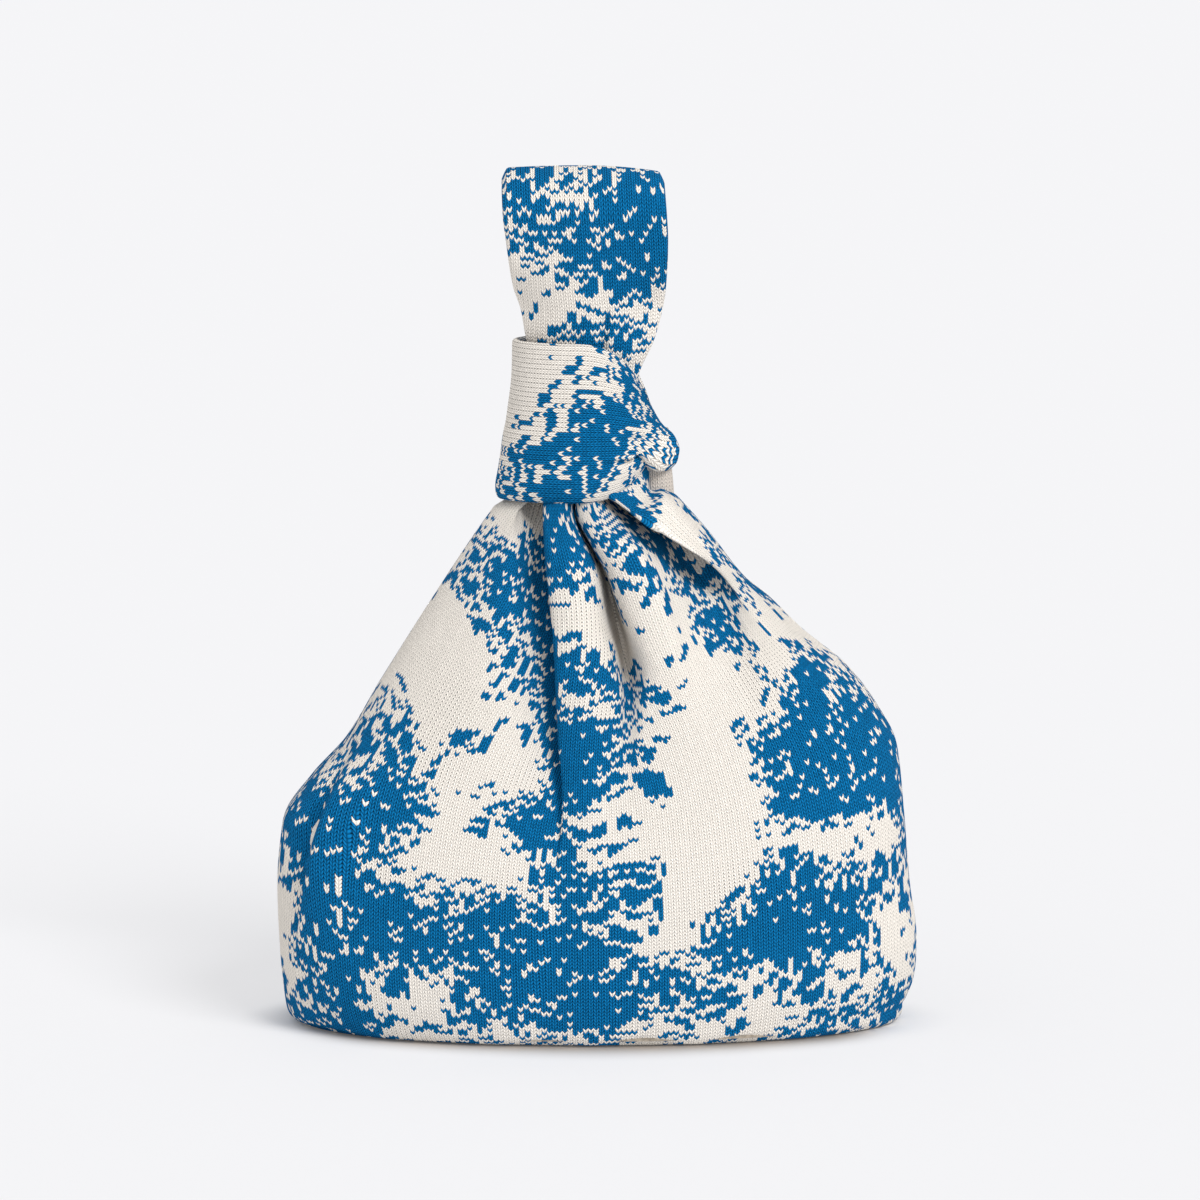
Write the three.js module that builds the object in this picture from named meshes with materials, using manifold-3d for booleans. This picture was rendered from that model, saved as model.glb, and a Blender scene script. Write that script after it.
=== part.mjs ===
// A knitted knot bag: its long handle is drawn through its short one, which closes the mouth.
// Millimetres, +Z up, front towards -Y, origin on the ground under the middle of the bag.
import * as THREE from "three";
import Module from "manifold-3d";

const wasm = await Module();
wasm.setup();

// Cloth and board
const KNIT = 2.6; // outer knit
const LINING = 1.2; // inner cloth
const STRAP = 4.4; // doubled knit of the handles
const BOARD = 2.4; // base board
const SEAM_GAP = 0.3; // between edges that are sewn together
const CLEARANCE = 0.5; // between layers that lie loose on each other

// Body
const BODY_HALF_WIDTH = 137; // at its widest
const BODY_HALF_DEPTH = 65; // at its deepest
const BODY_HEIGHT = 226; // ground to the knot's lower edge
const NECK_X = -6; // middle of the gathered neck
const LEAN_START = 0.3; // share of the height where the body starts to lean over to the neck
const LEFT_SHOULDER = 3; // how far the cloth under the knot stands out past it
const RIGHT_SHOULDER = 7;
const FACE_SHOULDER = 1.5;
const CINCH = 2; // height in which the knot draws the cloth in
const NECK_RISE = 24; // gathered cloth inside the knot
const LINING_HEIGHT = 196;
const LINING_GAP = 2; // the lining hangs this far inside the knit
const LINING_SLACK = 19; // and this much further at its top, clear of the deepest fold
const SLACK_START = 0.29; // share of the height where that slack starts

// Short handle, which wraps the neck as the knot's band
const BAND_HALF_WIDTH = 34;
const BAND_HALF_DEPTH = 23;
const BAND_HEIGHT = 69; // at the left fold, where it is widest
const BAND_BULGE = 1.4; // the band's belly between its edges
const BAND_EDGE = 2; // its rolled edges
const BAND_RIGHT_LIFT = 16; // how far its lower edge rises at the right, where it is gathered
const BAND_RIGHT_DROP = 28; // how far its upper edge falls there
const GATHER_START = 0.1; // left of the neck's middle, as a share of the band's half width
const GATHER_POWER = 2.5; // how late the gathering sets in
const SHOULDER_START = 0.7; // share of the height where the shoulder starts to rise with the band's edge
const BAND_TRAVEL = 12; // how far it slides up the neck when it is loosened

// Root of the short handle, the roll from the right shoulder up to the band
const ROOT_REACH = 8; // how far it stands out from the band
const ROOT_HALF_DEPTH = 16;
const ROOT_HEIGHT = 36;
const ROOT_Y = 6;
const ROOT_SEAT = 12; // height of its middle above the band's lower edge

// Long handle
const LOOP_HALF_WIDTH = 34.5; // at the crown
const LOOP_ROOT_HALF_WIDTH = 31; // where it starts to bend
const LOOP_HALF_DEPTH = 21;
const LOOP_RISE = 52; // bending line to the crown
const LOOP_X = -6.5; // middle of the crown
const LOOP_ROOT_X = -2; // middle of the loop where it starts to bend
const MOUTH_GAP = 8.4; // between its two arms at the bending line
const BEND_ROOM = 2.5; // between the arms and the ends of the loop that turn round them
const ARM_DIP = 12; // how far the arms reach down inside the gathered neck
const LEG_SHARE = 0.5; // share of each half of the loop that rises before it bends over

// Outlines from the ground (0) to the knot (1): the share of the way from the neck to the widest reach
const LEFT_OUTLINE = [
  [0, 0.926], [0.13, 0.979], [0.265, 1], [0.39, 0.973], [0.465, 0.862],
  [0.545, 0.697], [0.66, 0.532], [0.815, 0.298], [0.93, 0.117], [1, 0],
];
const RIGHT_OUTLINE = [
  [0, 0.936], [0.16, 1], [0.315, 0.971], [0.465, 0.931], [0.545, 0.902], [0.62, 0.804],
  [0.7, 0.662], [0.8, 0.39], [0.841, 0.265], [0.885, 0.122], [0.93, 0.03], [1, 0],
];
const FACE_OUTLINE = [
  [0, 0.878], [0.13, 0.976], [0.265, 1], [0.44, 0.878], [0.575, 0.73],
  [0.71, 0.537], [0.84, 0.317], [0.94, 0.134], [1, 0],
];
// Exponent of the section by height: under 2 is pointed at the sides, over 2 is boxy
const LEFT_FULLNESS = [
  [0, 2.3], [0.08, 2.7], [0.2, 2.9], [0.36, 2.9], [0.45, 3], [0.55, 2.6], [0.75, 2.1], [1, 2],
];
const RIGHT_FULLNESS = [[0, 2.1], [0.13, 2.1], [0.3, 2.3], [0.45, 2.7], [0.6, 2.5], [0.8, 2.1], [1, 2]];

// Folds under the knot: top is a share of the band's half width from the neck's middle, foot a share of the
// body's half width, start and deepest the heights where the fold begins and is deepest, and depth (out is
// positive) and width are shares of the band's half depth. A bend over 1 keeps it upright for longer.
const FOLDS = [
  // First valley and pleat, the fold that hides the mouth, second pleat, hollow and roll of the right shoulder
  { side: -1, top: -0.41, foot: -0.14, start: 0.33, deepest: 0.82, depth: -0.6, width: 0.42, bend: 1 },
  { side: -1, top: -0.2, foot: -0.03, start: 0.35, deepest: 0.8, depth: 0.29, width: 0.36, bend: 1.5 },
  { side: -1, top: -0.06, foot: 0.1, start: 0.55, deepest: 0.78, depth: -0.58, width: 0.24, bend: 1.8 },
  { side: -1, top: 0.16, foot: 0.27, start: 0.5, deepest: 0.88, depth: 0.3, width: 0.38, bend: 2.4 },
  { side: -1, top: 0.42, foot: 0.46, start: 0.62, deepest: 0.9, depth: -0.68, width: 0.32, bend: 1.9 },
  { side: -1, top: 0.7, foot: 0.63, start: 0.66, deepest: 0.92, depth: 0.27, width: 0.36, bend: 1.3 },
  // Valleys and pleats of the back
  { side: 1, top: -0.5, foot: -0.26, start: 0.3, deepest: 0.75, depth: -0.32, width: 0.6, bend: 1 },
  { side: 1, top: -0.1, foot: -0.03, start: 0.35, deepest: 0.8, depth: 0.17, width: 0.5, bend: 1 },
  { side: 1, top: 0.18, foot: 0.1, start: 0.45, deepest: 0.95, depth: -0.26, width: 0.3, bend: 1.2 },
  { side: 1, top: 0.44, foot: 0.24, start: 0.4, deepest: 0.85, depth: 0.14, width: 0.36, bend: 1.3 },
  { side: 1, top: 0.64, foot: 0.38, start: 0.5, deepest: 0.9, depth: -0.34, width: 0.36, bend: 1.3 },
];
const FOLD_EASE = 0.25; // share of its depth that a fold loses on its way up to the knot

// Grid counts
const HALF_COLUMNS = 32; // across the front, and again across the back
const LINING_COLUMNS = 16;
const CENTRE_CLUSTER = 0.4; // how much closer the columns lie at the folds
const FINE_POINTS = 160; // for measuring along a section
const BODY_ROWS = 14;
const LINING_ROWS = 9;
const BAND_COLUMNS = 44;
const LOOP_STEPS = 26;
const NECK_COLUMNS = 32;
const ARM_ROWS = 10;
const HINGE_SIDES = 32;
const ROOT_SIDES = 20;
const ROOT_RINGS = 14;
const CUTTER = 1000; // larger than the bag

const BLUE = 0x1f6fa8;
const CREAM = 0xe6dfd6;
const BOARD_GREY = 0x9c9488;

// Heights and neck sizes that follow from the sizes above
const baseTop = KNIT;
const panelBottom = baseTop + SEAM_GAP;
const boardBottom = baseTop + SEAM_GAP;
const boardTop = boardBottom + BOARD;
const liningBaseBottom = boardTop + SEAM_GAP;
const liningBaseTop = liningBaseBottom + LINING;
const liningBottom = liningBaseTop + SEAM_GAP;
const bandBottom = BODY_HEIGHT + CINCH;
const bandTop = bandBottom + BAND_HEIGHT;
const neckTop = BODY_HEIGHT + NECK_RISE;
const liftedNeckTop = neckTop + BAND_RIGHT_LIFT;
const neckHalfWidth = BAND_HALF_WIDTH - STRAP - CLEARANCE;
const neckHalfDepth = BAND_HALF_DEPTH - STRAP - CLEARANCE;
const armHalfDepth = STRAP + MOUTH_GAP / 2;
const hingeRadius = armHalfDepth + BEND_ROOM;
const hingeHeight = bandTop + BAND_TRAVEL + hingeRadius + CLEARANCE;

const { clamp, lerp, smoothstep } = THREE.MathUtils;

// A smooth curve through [position, value] points that doesn't overshoot them.
function through(points, at) {
  const last = points.length - 1;
  const clamped = clamp(at, points[0][0], points[last][0]);
  let i = 0;
  while (i < last - 1 && clamped > points[i + 1][0]) i += 1;
  const slope = (k) => (points[k + 1][1] - points[k][1]) / (points[k + 1][0] - points[k][0]);
  const tangent = (k) => {
    if (k === 0) return slope(0);
    if (k === last) return slope(last - 1);
    const before = slope(k - 1);
    const after = slope(k);
    return before * after <= 0 ? 0 : (2 * before * after) / (before + after);
  };
  const [x0, y0] = points[i];
  const [x1, y1] = points[i + 1];
  const span = x1 - x0;
  const t = (clamped - x0) / span;
  const rise = t * t * (3 - 2 * t);
  const start = t * (1 - t) * (1 - t) * span * tangent(i);
  const end = t * t * (t - 1) * span * tangent(i + 1);
  return lerp(y0, y1, rise) + start + end;
}

// Reach of one side of the body at a height: its outline up to the knot, then drawn in to the neck.
function reach(outline, widest, shoulder, neck, height) {
  const outside = shoulder + (widest - shoulder) * through(outline, height / BODY_HEIGHT);
  const drawnIn = clamp((height - BODY_HEIGHT) / (CINCH - SEAM_GAP), 0, 1);
  return lerp(outside, neck, drawnIn);
}

// The four reaches and the shape of the horizontal section at a height, a given distance inside the skin.
function sectionAt(height, inset) {
  const share = height / BODY_HEIGHT;
  const face = reach(FACE_OUTLINE, BODY_HALF_DEPTH, BAND_HALF_DEPTH + FACE_SHOULDER, neckHalfDepth, height);
  const leftShoulder = BAND_HALF_WIDTH + LEFT_SHOULDER - NECK_X;
  const rightShoulder = BAND_HALF_WIDTH + RIGHT_SHOULDER + NECK_X;
  const left = reach(LEFT_OUTLINE, BODY_HALF_WIDTH, leftShoulder, neckHalfWidth - NECK_X, height);
  const right = reach(RIGHT_OUTLINE, BODY_HALF_WIDTH, rightShoulder, neckHalfWidth + NECK_X, height);
  return {
    middle: NECK_X * smoothstep(share, LEAN_START, 1),
    left: left - inset,
    right: right - inset,
    face: face - inset,
    leftFullness: through(LEFT_FULLNESS, share),
    rightFullness: through(RIGHT_FULLNESS, share),
  };
}

// A point of a section: share 0 is the left side, 1 the right, on the front (-1) or the back (+1).
function sectionPoint(section, side, share) {
  const angle = Math.PI * share;
  const across = Math.cos(angle);
  const isLeft = across > 0;
  const power = 2 / (isLeft ? section.leftFullness : section.rightFullness);
  const half = isLeft ? section.middle + section.left : section.right - section.middle;
  const x = section.middle - Math.sign(across) * half * Math.abs(across) ** power;
  return new THREE.Vector2(x, side * section.face * Math.sin(angle) ** power);
}

// Points spread along half a section by length, closer together in the middle.
function halfSection(section, side, columns) {
  const steps = Array.from({ length: FINE_POINTS + 1 }, (_, i) => i / FINE_POINTS);
  const fine = steps.map((share) => sectionPoint(section, side, share));
  const lengths = [0];
  for (let i = 1; i <= FINE_POINTS; i += 1) lengths.push(lengths[i - 1] + fine[i].distanceTo(fine[i - 1]));
  return Array.from({ length: columns + 1 }, (_, column) => {
    const even = column / columns;
    const along = even + (CENTRE_CLUSTER / (2 * Math.PI)) * Math.sin(2 * Math.PI * even);
    const wanted = along * lengths[FINE_POINTS];
    let i = 0;
    while (i < FINE_POINTS - 1 && lengths[i + 1] < wanted) i += 1;
    const part = (wanted - lengths[i]) / (lengths[i + 1] - lengths[i]);
    return fine[i].clone().lerp(fine[i + 1], part);
  });
}

// How far the folds push the skin out at a point of the front or back.
function foldDepth(side, x, height) {
  const share = height / BODY_HEIGHT;
  let depth = 0;
  for (const fold of FOLDS.filter((f) => f.side === side)) {
    const flattened = smoothstep(height, BODY_HEIGHT - CINCH, BODY_HEIGHT);
    const eased = 1 - FOLD_EASE * smoothstep(share, fold.deepest, 1);
    const grown = smoothstep(share, fold.start, fold.deepest) * eased * (1 - flattened);
    const along = clamp((share - fold.start) / (1 - fold.start), 0, 1) ** fold.bend;
    const centre = lerp(fold.foot * BODY_HALF_WIDTH, NECK_X + fold.top * BAND_HALF_WIDTH, along);
    const offset = (x - centre) / (fold.width * BAND_HALF_DEPTH);
    depth += fold.depth * BAND_HALF_DEPTH * grown * Math.exp(-(offset ** 2));
  }
  return depth;
}

// How gathered the band is at a place across the neck: nothing at the left, all of it at the right end.
function gathered(x) {
  const across = clamp((x - NECK_X) / BAND_HALF_WIDTH, -GATHER_START, 1);
  return ((across + GATHER_START) / (1 + GATHER_START)) ** GATHER_POWER;
}

// One closed ring of the body, from the left side along the front to the right and back along the back.
// It is the section of the height plus lift, and near the knot it rises with the band's lower edge.
function bodyRing(height, inset, lift, columns, folded) {
  const section = sectionAt(height + lift, inset);
  const front = halfSection(section, -1, columns);
  const back = halfSection(section, 1, columns).reverse();
  const ring = [...front.slice(0, -1), ...back.slice(0, -1)];
  const near = smoothstep(height / BODY_HEIGHT, SHOULDER_START, 1);
  return ring.map((point, i) => {
    const before = ring[(i + ring.length - 1) % ring.length];
    const after = ring[(i + 1) % ring.length];
    const outward = new THREE.Vector2(after.y - before.y, before.x - after.x).normalize();
    const depth = folded ? foldDepth(Math.sign(point.y), point.x, height + lift) : 0;
    const moved = point.clone().addScaledVector(outward, depth);
    return new THREE.Vector3(moved.x, moved.y, height + near * BAND_RIGHT_LIFT * gathered(moved.x));
  });
}

function solid(vertices, triangles) {
  const vertProperties = new Float32Array(vertices.flatMap((v) => [v.x, v.y, v.z]));
  const triVerts = new Uint32Array(triangles);
  return new wasm.Manifold(new wasm.Mesh({ numProp: 3, vertProperties, triVerts }));
}

// Quads between neighbouring rings of equal length.
function bandTriangles(ringCount, size, closed) {
  const triangles = [];
  const steps = closed ? ringCount : ringCount - 1;
  for (let i = 0; i < steps; i += 1)
    for (let j = 0; j < size; j += 1) {
      const a = i * size + j;
      const b = i * size + ((j + 1) % size);
      const c = ((i + 1) % ringCount) * size + ((j + 1) % size);
      const d = ((i + 1) % ringCount) * size + j;
      triangles.push(a, b, c, a, c, d);
    }
  return triangles;
}

// A solid through rings that run counter-clockwise seen along the way they follow, with both ends closed.
function loft(rings) {
  const size = rings[0].length;
  const vertices = rings.flat();
  const triangles = bandTriangles(rings.length, size, false);
  const cap = (ring, first, isStart) => {
    const centre = ring.reduce((sum, v) => sum.add(v), new THREE.Vector3()).divideScalar(size);
    const middle = vertices.push(centre) - 1;
    for (let j = 0; j < size; j += 1) {
      const a = first + j;
      const b = first + ((j + 1) % size);
      triangles.push(middle, isStart ? b : a, isStart ? a : b);
    }
  };
  cap(rings[0], 0, true);
  cap(rings[rings.length - 1], (rings.length - 1) * size, false);
  return solid(vertices, triangles);
}

// A solid through sections that close on themselves, such as a hoop.
function hoop(sections) {
  return solid(sections.flat(), bandTriangles(sections.length, sections[0].length, true));
}

// A solid from one of the ready geometries, with its doubled vertices joined.
function fromGeometry(geometry) {
  const at = geometry.getAttribute("position");
  const seen = new Map();
  const vertices = [];
  const order = Array.from(geometry.index.array, (i) => {
    const point = new THREE.Vector3().fromBufferAttribute(at, i);
    const key = point.toArray().map((v) => v.toFixed(3)).join();
    if (!seen.has(key)) seen.set(key, vertices.push(point) - 1);
    return seen.get(key);
  });
  const triangles = [];
  for (let i = 0; i < order.length; i += 3) {
    const [a, b, c] = order.slice(i, i + 3);
    if (a !== b && b !== c && a !== c) triangles.push(a, b, c);
  }
  return solid(vertices, triangles);
}

// Everything on one side of the plane of the side seams, half a seam gap away from it.
function halfSpace(side) {
  const box = new THREE.BoxGeometry(CUTTER, CUTTER, CUTTER);
  return fromGeometry(box.translate(0, (side * (CUTTER + SEAM_GAP)) / 2, 0));
}

const frontSpace = halfSpace(-1);
const backSpace = halfSpace(1);

// A bar along X at the bending line of the long handle.
function hingeBar(radius) {
  const bar = new THREE.CylinderGeometry(radius, radius, CUTTER, HINGE_SIDES).rotateZ(Math.PI / 2);
  return fromGeometry(bar.translate(0, 0, hingeHeight));
}

// Angles spread evenly over a full turn.
function turn(count) {
  return Array.from({ length: count }, (_, i) => (2 * Math.PI * i) / count);
}

function ellipse(middle, halfWidth, halfDepth, height, columns) {
  return turn(columns).map((angle) => {
    const x = middle + halfWidth * Math.cos(angle);
    return new THREE.Vector3(x, halfDepth * Math.sin(angle), height);
  });
}

// Evenly spaced heights, both ends included.
function heights(bottom, top, rows) {
  return Array.from({ length: rows + 1 }, (_, i) => lerp(bottom, top, i / rows));
}

// The body filled solid up to the top of the neck, grown or shrunk by an inset.
function bodySolid(inset, lift) {
  const rows = heights(panelBottom - lift, BODY_HEIGHT - lift, BODY_ROWS);
  const shelf = BODY_HEIGHT + CINCH - SEAM_GAP - lift;
  const all = [...rows, shelf, neckTop + Math.max(lift, 0)];
  return loft(all.map((height) => bodyRing(height, inset, lift, HALF_COLUMNS, true)));
}

function outerShell() {
  return bodySolid(0, 0).subtract(bodySolid(KNIT, KNIT));
}

// The lining hangs inside the knit, with slack where the knit is folded.
function liningRing(height, inset) {
  const slack = LINING_SLACK * smoothstep(height, BODY_HEIGHT * SLACK_START, LINING_HEIGHT);
  return bodyRing(height, KNIT + LINING_GAP + slack + inset, KNIT, LINING_COLUMNS, false);
}

function liningShell() {
  const rows = heights(liningBottom, LINING_HEIGHT, LINING_ROWS);
  const skin = loft(rows.map((height) => liningRing(height, 0)));
  const open = [liningBottom - LINING, ...rows.slice(1, -1), LINING_HEIGHT + LINING];
  return skin.subtract(loft(open.map((height) => liningRing(height, LINING))));
}

// A flat piece with the section's outline.
function plate(bottom, top, inset) {
  return loft([bottom, top].map((height) => bodyRing(height, inset, 0, HALF_COLUMNS, false)));
}

// A section of the band at an angle round the neck: six points with a soft belly and rolled edges.
function bandSection(angle) {
  const outward = new THREE.Vector2(Math.cos(angle), Math.sin(angle));
  const drawn = gathered(NECK_X + outward.x * BAND_HALF_WIDTH);
  const low = bandBottom + BAND_RIGHT_LIFT * drawn;
  const high = bandTop - BAND_RIGHT_DROP * drawn;
  const at = (inset, height) => {
    const x = NECK_X + outward.x * (BAND_HALF_WIDTH - inset);
    return new THREE.Vector3(x, outward.y * (BAND_HALF_DEPTH - inset), height);
  };
  const middle = (low + high) / 2;
  return [
    at(STRAP, low), at(STRAP, middle), at(STRAP, high),
    at(0, high - BAND_EDGE), at(-BAND_BULGE, middle), at(0, low + BAND_EDGE),
  ];
}

function band() {
  return hoop(turn(BAND_COLUMNS).map(bandSection));
}

// An ellipse of the neck's arms, which flatten and widen from the gathered cloth to the bending line.
function armRing(height, inset) {
  const flat = smoothstep(height, liftedNeckTop, bandTop);
  const free = smoothstep(height, liftedNeckTop, liftedNeckTop + NECK_RISE);
  const wide = smoothstep(height, bandTop + BAND_TRAVEL, hingeHeight);
  const inKnot = neckHalfWidth - lerp(KNIT + CLEARANCE, CLEARANCE, free);
  const halfWidth = lerp(inKnot, LOOP_ROOT_HALF_WIDTH, wide) - inset;
  const halfDepth = lerp(neckHalfDepth - KNIT - CLEARANCE, armHalfDepth, flat) - inset;
  const middle = lerp(NECK_X, LOOP_ROOT_X, wide);
  return ellipse(middle, halfWidth, halfDepth, height, NECK_COLUMNS);
}

// Both arms of the long handle from inside the gathered neck up to the bending line, as a flattened tube.
function neckArms() {
  const bottom = BODY_HEIGHT + CINCH - ARM_DIP;
  const top = hingeHeight + hingeRadius;
  const rows = heights(bottom, top, ARM_ROWS);
  const inside = [bottom - STRAP, ...rows.slice(1, -1), top + STRAP];
  const tube = loft(rows.map((h) => armRing(h, 0))).subtract(loft(inside.map((h) => armRing(h, STRAP))));
  const below = new THREE.BoxGeometry(CUTTER, CUTTER, CUTTER).translate(0, 0, hingeHeight - CUTTER / 2);
  return tube.intersect(fromGeometry(below).add(hingeBar(hingeRadius - CLEARANCE)));
}

// Middle line of the loop seen from the side: up from the bending line, round the crown and down again.
function loopLine(share) {
  const crownRadius = LOOP_HALF_DEPTH - STRAP / 2;
  const rootY = armHalfDepth - STRAP / 2;
  const crownHeight = hingeHeight + LOOP_RISE - LOOP_HALF_DEPTH;
  const side = share < 0.5 ? -1 : 1;
  const fromRoot = 1 - Math.abs(2 * share - 1);
  if (fromRoot < LEG_SHARE) {
    const along = fromRoot / LEG_SHARE;
    const y = lerp(rootY, crownRadius, smoothstep(along, 0, 1));
    return new THREE.Vector2(side * y, lerp(hingeHeight, crownHeight, along));
  }
  const angle = (Math.PI / 2) * ((fromRoot - LEG_SHARE) / (1 - LEG_SHARE));
  const rise = crownRadius * Math.sin(angle);
  return new THREE.Vector2(side * crownRadius * Math.cos(angle), crownHeight + rise);
}

// A flat strap section with softened corners, square to the loop's middle line.
function loopSection(share) {
  const step = 1 / LOOP_STEPS / 4;
  const at = loopLine(share);
  const along = loopLine(Math.min(1, share + step)).sub(loopLine(Math.max(0, share - step))).normalize();
  const outward = new THREE.Vector2(-along.y, along.x);
  const risen = smoothstep(at.y, hingeHeight, hingeHeight + LOOP_RISE);
  const half = lerp(LOOP_ROOT_HALF_WIDTH, LOOP_HALF_WIDTH, risen);
  const middle = lerp(LOOP_ROOT_X, LOOP_X, risen);
  const flat = STRAP / 2;
  const corner = STRAP / 4;
  const point = (x, out) =>
    new THREE.Vector3(middle + x, at.x + outward.x * out, at.y + outward.y * out);
  const outerFace = [
    [-half, flat - corner], [corner - half, flat], [half - corner, flat], [half, flat - corner],
  ];
  const innerFace = outerFace.map(([x, out]) => [-x, -out]);
  return [...outerFace, ...innerFace].map(([x, out]) => point(x, out));
}

function loopStrap() {
  const sections = Array.from({ length: LOOP_STEPS + 1 }, (_, i) => loopSection(i / LOOP_STEPS));
  return loft(sections).subtract(hingeBar(hingeRadius));
}

// The roll from the right shoulder to the band, cut to the faces that it lies on.
function handleRoot() {
  const roll = new THREE.SphereGeometry(1, ROOT_SIDES, ROOT_RINGS);
  roll.scale(ROOT_REACH + STRAP, ROOT_HALF_DEPTH, ROOT_HEIGHT / 2);
  roll.translate(NECK_X + BAND_HALF_WIDTH - STRAP, ROOT_Y, bandBottom + ROOT_SEAT);
  const grown = BAND_BULGE + CLEARANCE;
  const bandFilled = loft(
    [bandBottom - BAND_EDGE, bandTop].map((height) =>
      ellipse(NECK_X, BAND_HALF_WIDTH + grown, BAND_HALF_DEPTH + grown, height, BAND_COLUMNS),
    ),
  );
  return fromGeometry(roll).subtract(bandFilled).subtract(bodySolid(-CLEARANCE, -CLEARANCE));
}

function geometryOf(made) {
  const mesh = made.getMesh();
  const geometry = new THREE.BufferGeometry();
  geometry.setAttribute("position", new THREE.BufferAttribute(new Float32Array(mesh.vertProperties), 3));
  geometry.setIndex(new THREE.BufferAttribute(new Uint32Array(mesh.triVerts), 1));
  geometry.computeVertexNormals();
  return geometry;
}

const bag = new THREE.Group();

function addPiece(name, made, color, roughness = 0.9) {
  const material = new THREE.MeshStandardMaterial({ color, roughness, metalness: 0 });
  const piece = new THREE.Mesh(geometryOf(made), material);
  piece.name = name;
  bag.add(piece);
}

function addHalves(front, back, made, color) {
  addPiece(front, made.intersect(frontSpace), color);
  addPiece(back, made.intersect(backSpace), color);
}

addHalves("outer_front_panel", "outer_back_panel", outerShell(), BLUE);
addPiece("outer_base_panel", plate(0, baseTop, 0), BLUE);
addPiece("base_board", plate(boardBottom, boardTop, KNIT + CLEARANCE), BOARD_GREY);
addPiece("lining_base_panel", plate(liningBaseBottom, liningBaseTop, KNIT + CLEARANCE), CREAM);
addHalves("lining_front_panel", "lining_back_panel", liningShell(), CREAM);
addHalves("short_handle_front_band", "short_handle_back_band", band(), BLUE);
addPiece("short_handle_root", handleRoot(), BLUE);
addHalves("long_handle_front_arm", "long_handle_back_arm", neckArms(), CREAM);
addHalves("long_handle_front_strap", "long_handle_back_strap", loopStrap(), BLUE);

export default bag;
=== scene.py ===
"""A soft knitted knot bag: pleated body, flat base, knot band, curled root and wrist loop.

Lengths inside the shape functions are millimetres; meshes are made in metres. The front faces -Y.
"""

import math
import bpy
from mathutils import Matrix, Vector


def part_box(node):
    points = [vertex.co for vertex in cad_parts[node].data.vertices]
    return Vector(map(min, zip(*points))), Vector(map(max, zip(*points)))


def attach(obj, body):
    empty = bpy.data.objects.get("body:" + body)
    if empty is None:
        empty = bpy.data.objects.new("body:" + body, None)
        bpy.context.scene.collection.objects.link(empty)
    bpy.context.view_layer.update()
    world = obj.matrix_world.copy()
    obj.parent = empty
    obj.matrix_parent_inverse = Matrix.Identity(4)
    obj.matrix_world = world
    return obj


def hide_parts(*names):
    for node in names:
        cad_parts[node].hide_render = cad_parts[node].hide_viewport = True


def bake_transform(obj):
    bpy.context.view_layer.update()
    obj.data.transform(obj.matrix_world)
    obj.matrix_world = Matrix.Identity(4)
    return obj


bl_info = {
    "name": "Knitted Knot Bag",
    "version": (1, 0, 0),
    "blender": (4, 5, 0),
    "location": "View3D > Sidebar > Knot Bag",
    "description": "Builds a soft knitted bag that is tied by drawing its long handle through its short one",
    "category": "Add Mesh",
}

from functools import partialmethod

import bmesh
import bpy
import numpy as np
from bpy.props import FloatProperty, FloatVectorProperty, PointerProperty

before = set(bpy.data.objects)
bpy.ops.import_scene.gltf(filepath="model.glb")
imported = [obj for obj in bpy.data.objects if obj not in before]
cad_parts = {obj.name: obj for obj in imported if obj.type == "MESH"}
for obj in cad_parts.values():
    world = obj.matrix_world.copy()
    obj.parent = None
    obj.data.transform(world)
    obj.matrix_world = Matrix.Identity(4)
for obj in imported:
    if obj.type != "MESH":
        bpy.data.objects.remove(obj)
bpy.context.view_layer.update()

MM = 0.001

# Body outlines from the ground (0) to the knot (1): share of the way from the neck to the widest reach
LEFT_OUTLINE = (
    (0, 0.948), (0.03, 0.976), (0.083, 0.99), (0.13, 1), (0.265, 1.012), (0.39, 0.985), (0.465, 0.866),
    (0.545, 0.697), (0.66, 0.532), (0.815, 0.298), (0.93, 0.117), (1, 0),
)
RIGHT_OUTLINE = (
    (0, 0.962), (0.03, 0.962), (0.044, 0.977), (0.083, 1.008), (0.12, 1.017), (0.16, 1.018), (0.27, 0.988),
    (0.42, 0.959), (0.535, 0.931), (0.612, 0.848), (0.69, 0.718), (0.757, 0.526), (0.8, 0.41), (0.829, 0.308),
    (0.892, 0.164), (0.927, 0.08), (0.96, 0),
)
FACE_OUTLINE = (
    (0, 0.82), (0.06, 0.92), (0.13, 0.976), (0.265, 1), (0.44, 0.878), (0.575, 0.73),
    (0.71, 0.537), (0.84, 0.317), (0.94, 0.134), (1, 0),
)
# Exponent of the section by height: under 2 is pointed at the sides, over 2 is boxy
LEFT_FULLNESS = ((0, 2.2), (0.08, 2.7), (0.2, 2.9), (0.36, 2.9), (0.45, 3), (0.55, 2.6), (0.75, 2.1), (1, 2))
RIGHT_FULLNESS = ((0, 2), (0.13, 2.1), (0.3, 2.3), (0.45, 2.7), (0.6, 2.5), (0.8, 2.1), (1, 2))

# Reach of the body where the knot grips it, the neck that it is drawn in to, and the heights from the knot's
# lower edge between which that happens
LEFT_SHOULDER, RIGHT_SHOULDER, FACE_SHOULDER = 43.0, 31.5, 24.5
NECK_HALF_WIDTH, NECK_HALF_DEPTH = 29.1, 18.1
LEFT_DRAWN_IN, RIGHT_DRAWN_IN, FACE_DRAWN_IN = (-2, 5), (-12, -4), (-18, 6)
# Shares of the body's height where its middle starts to lean to the neck and the shoulders start to lift
LEAN_START = 0.3
SHOULDER_START = 0.7
BAND_RIGHT_LIFT = 16.0
# Where across the neck the gathering starts, left of its middle, and how steeply it grows
GATHER_START = 0.1
GATHER_POWER = 2.5

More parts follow.
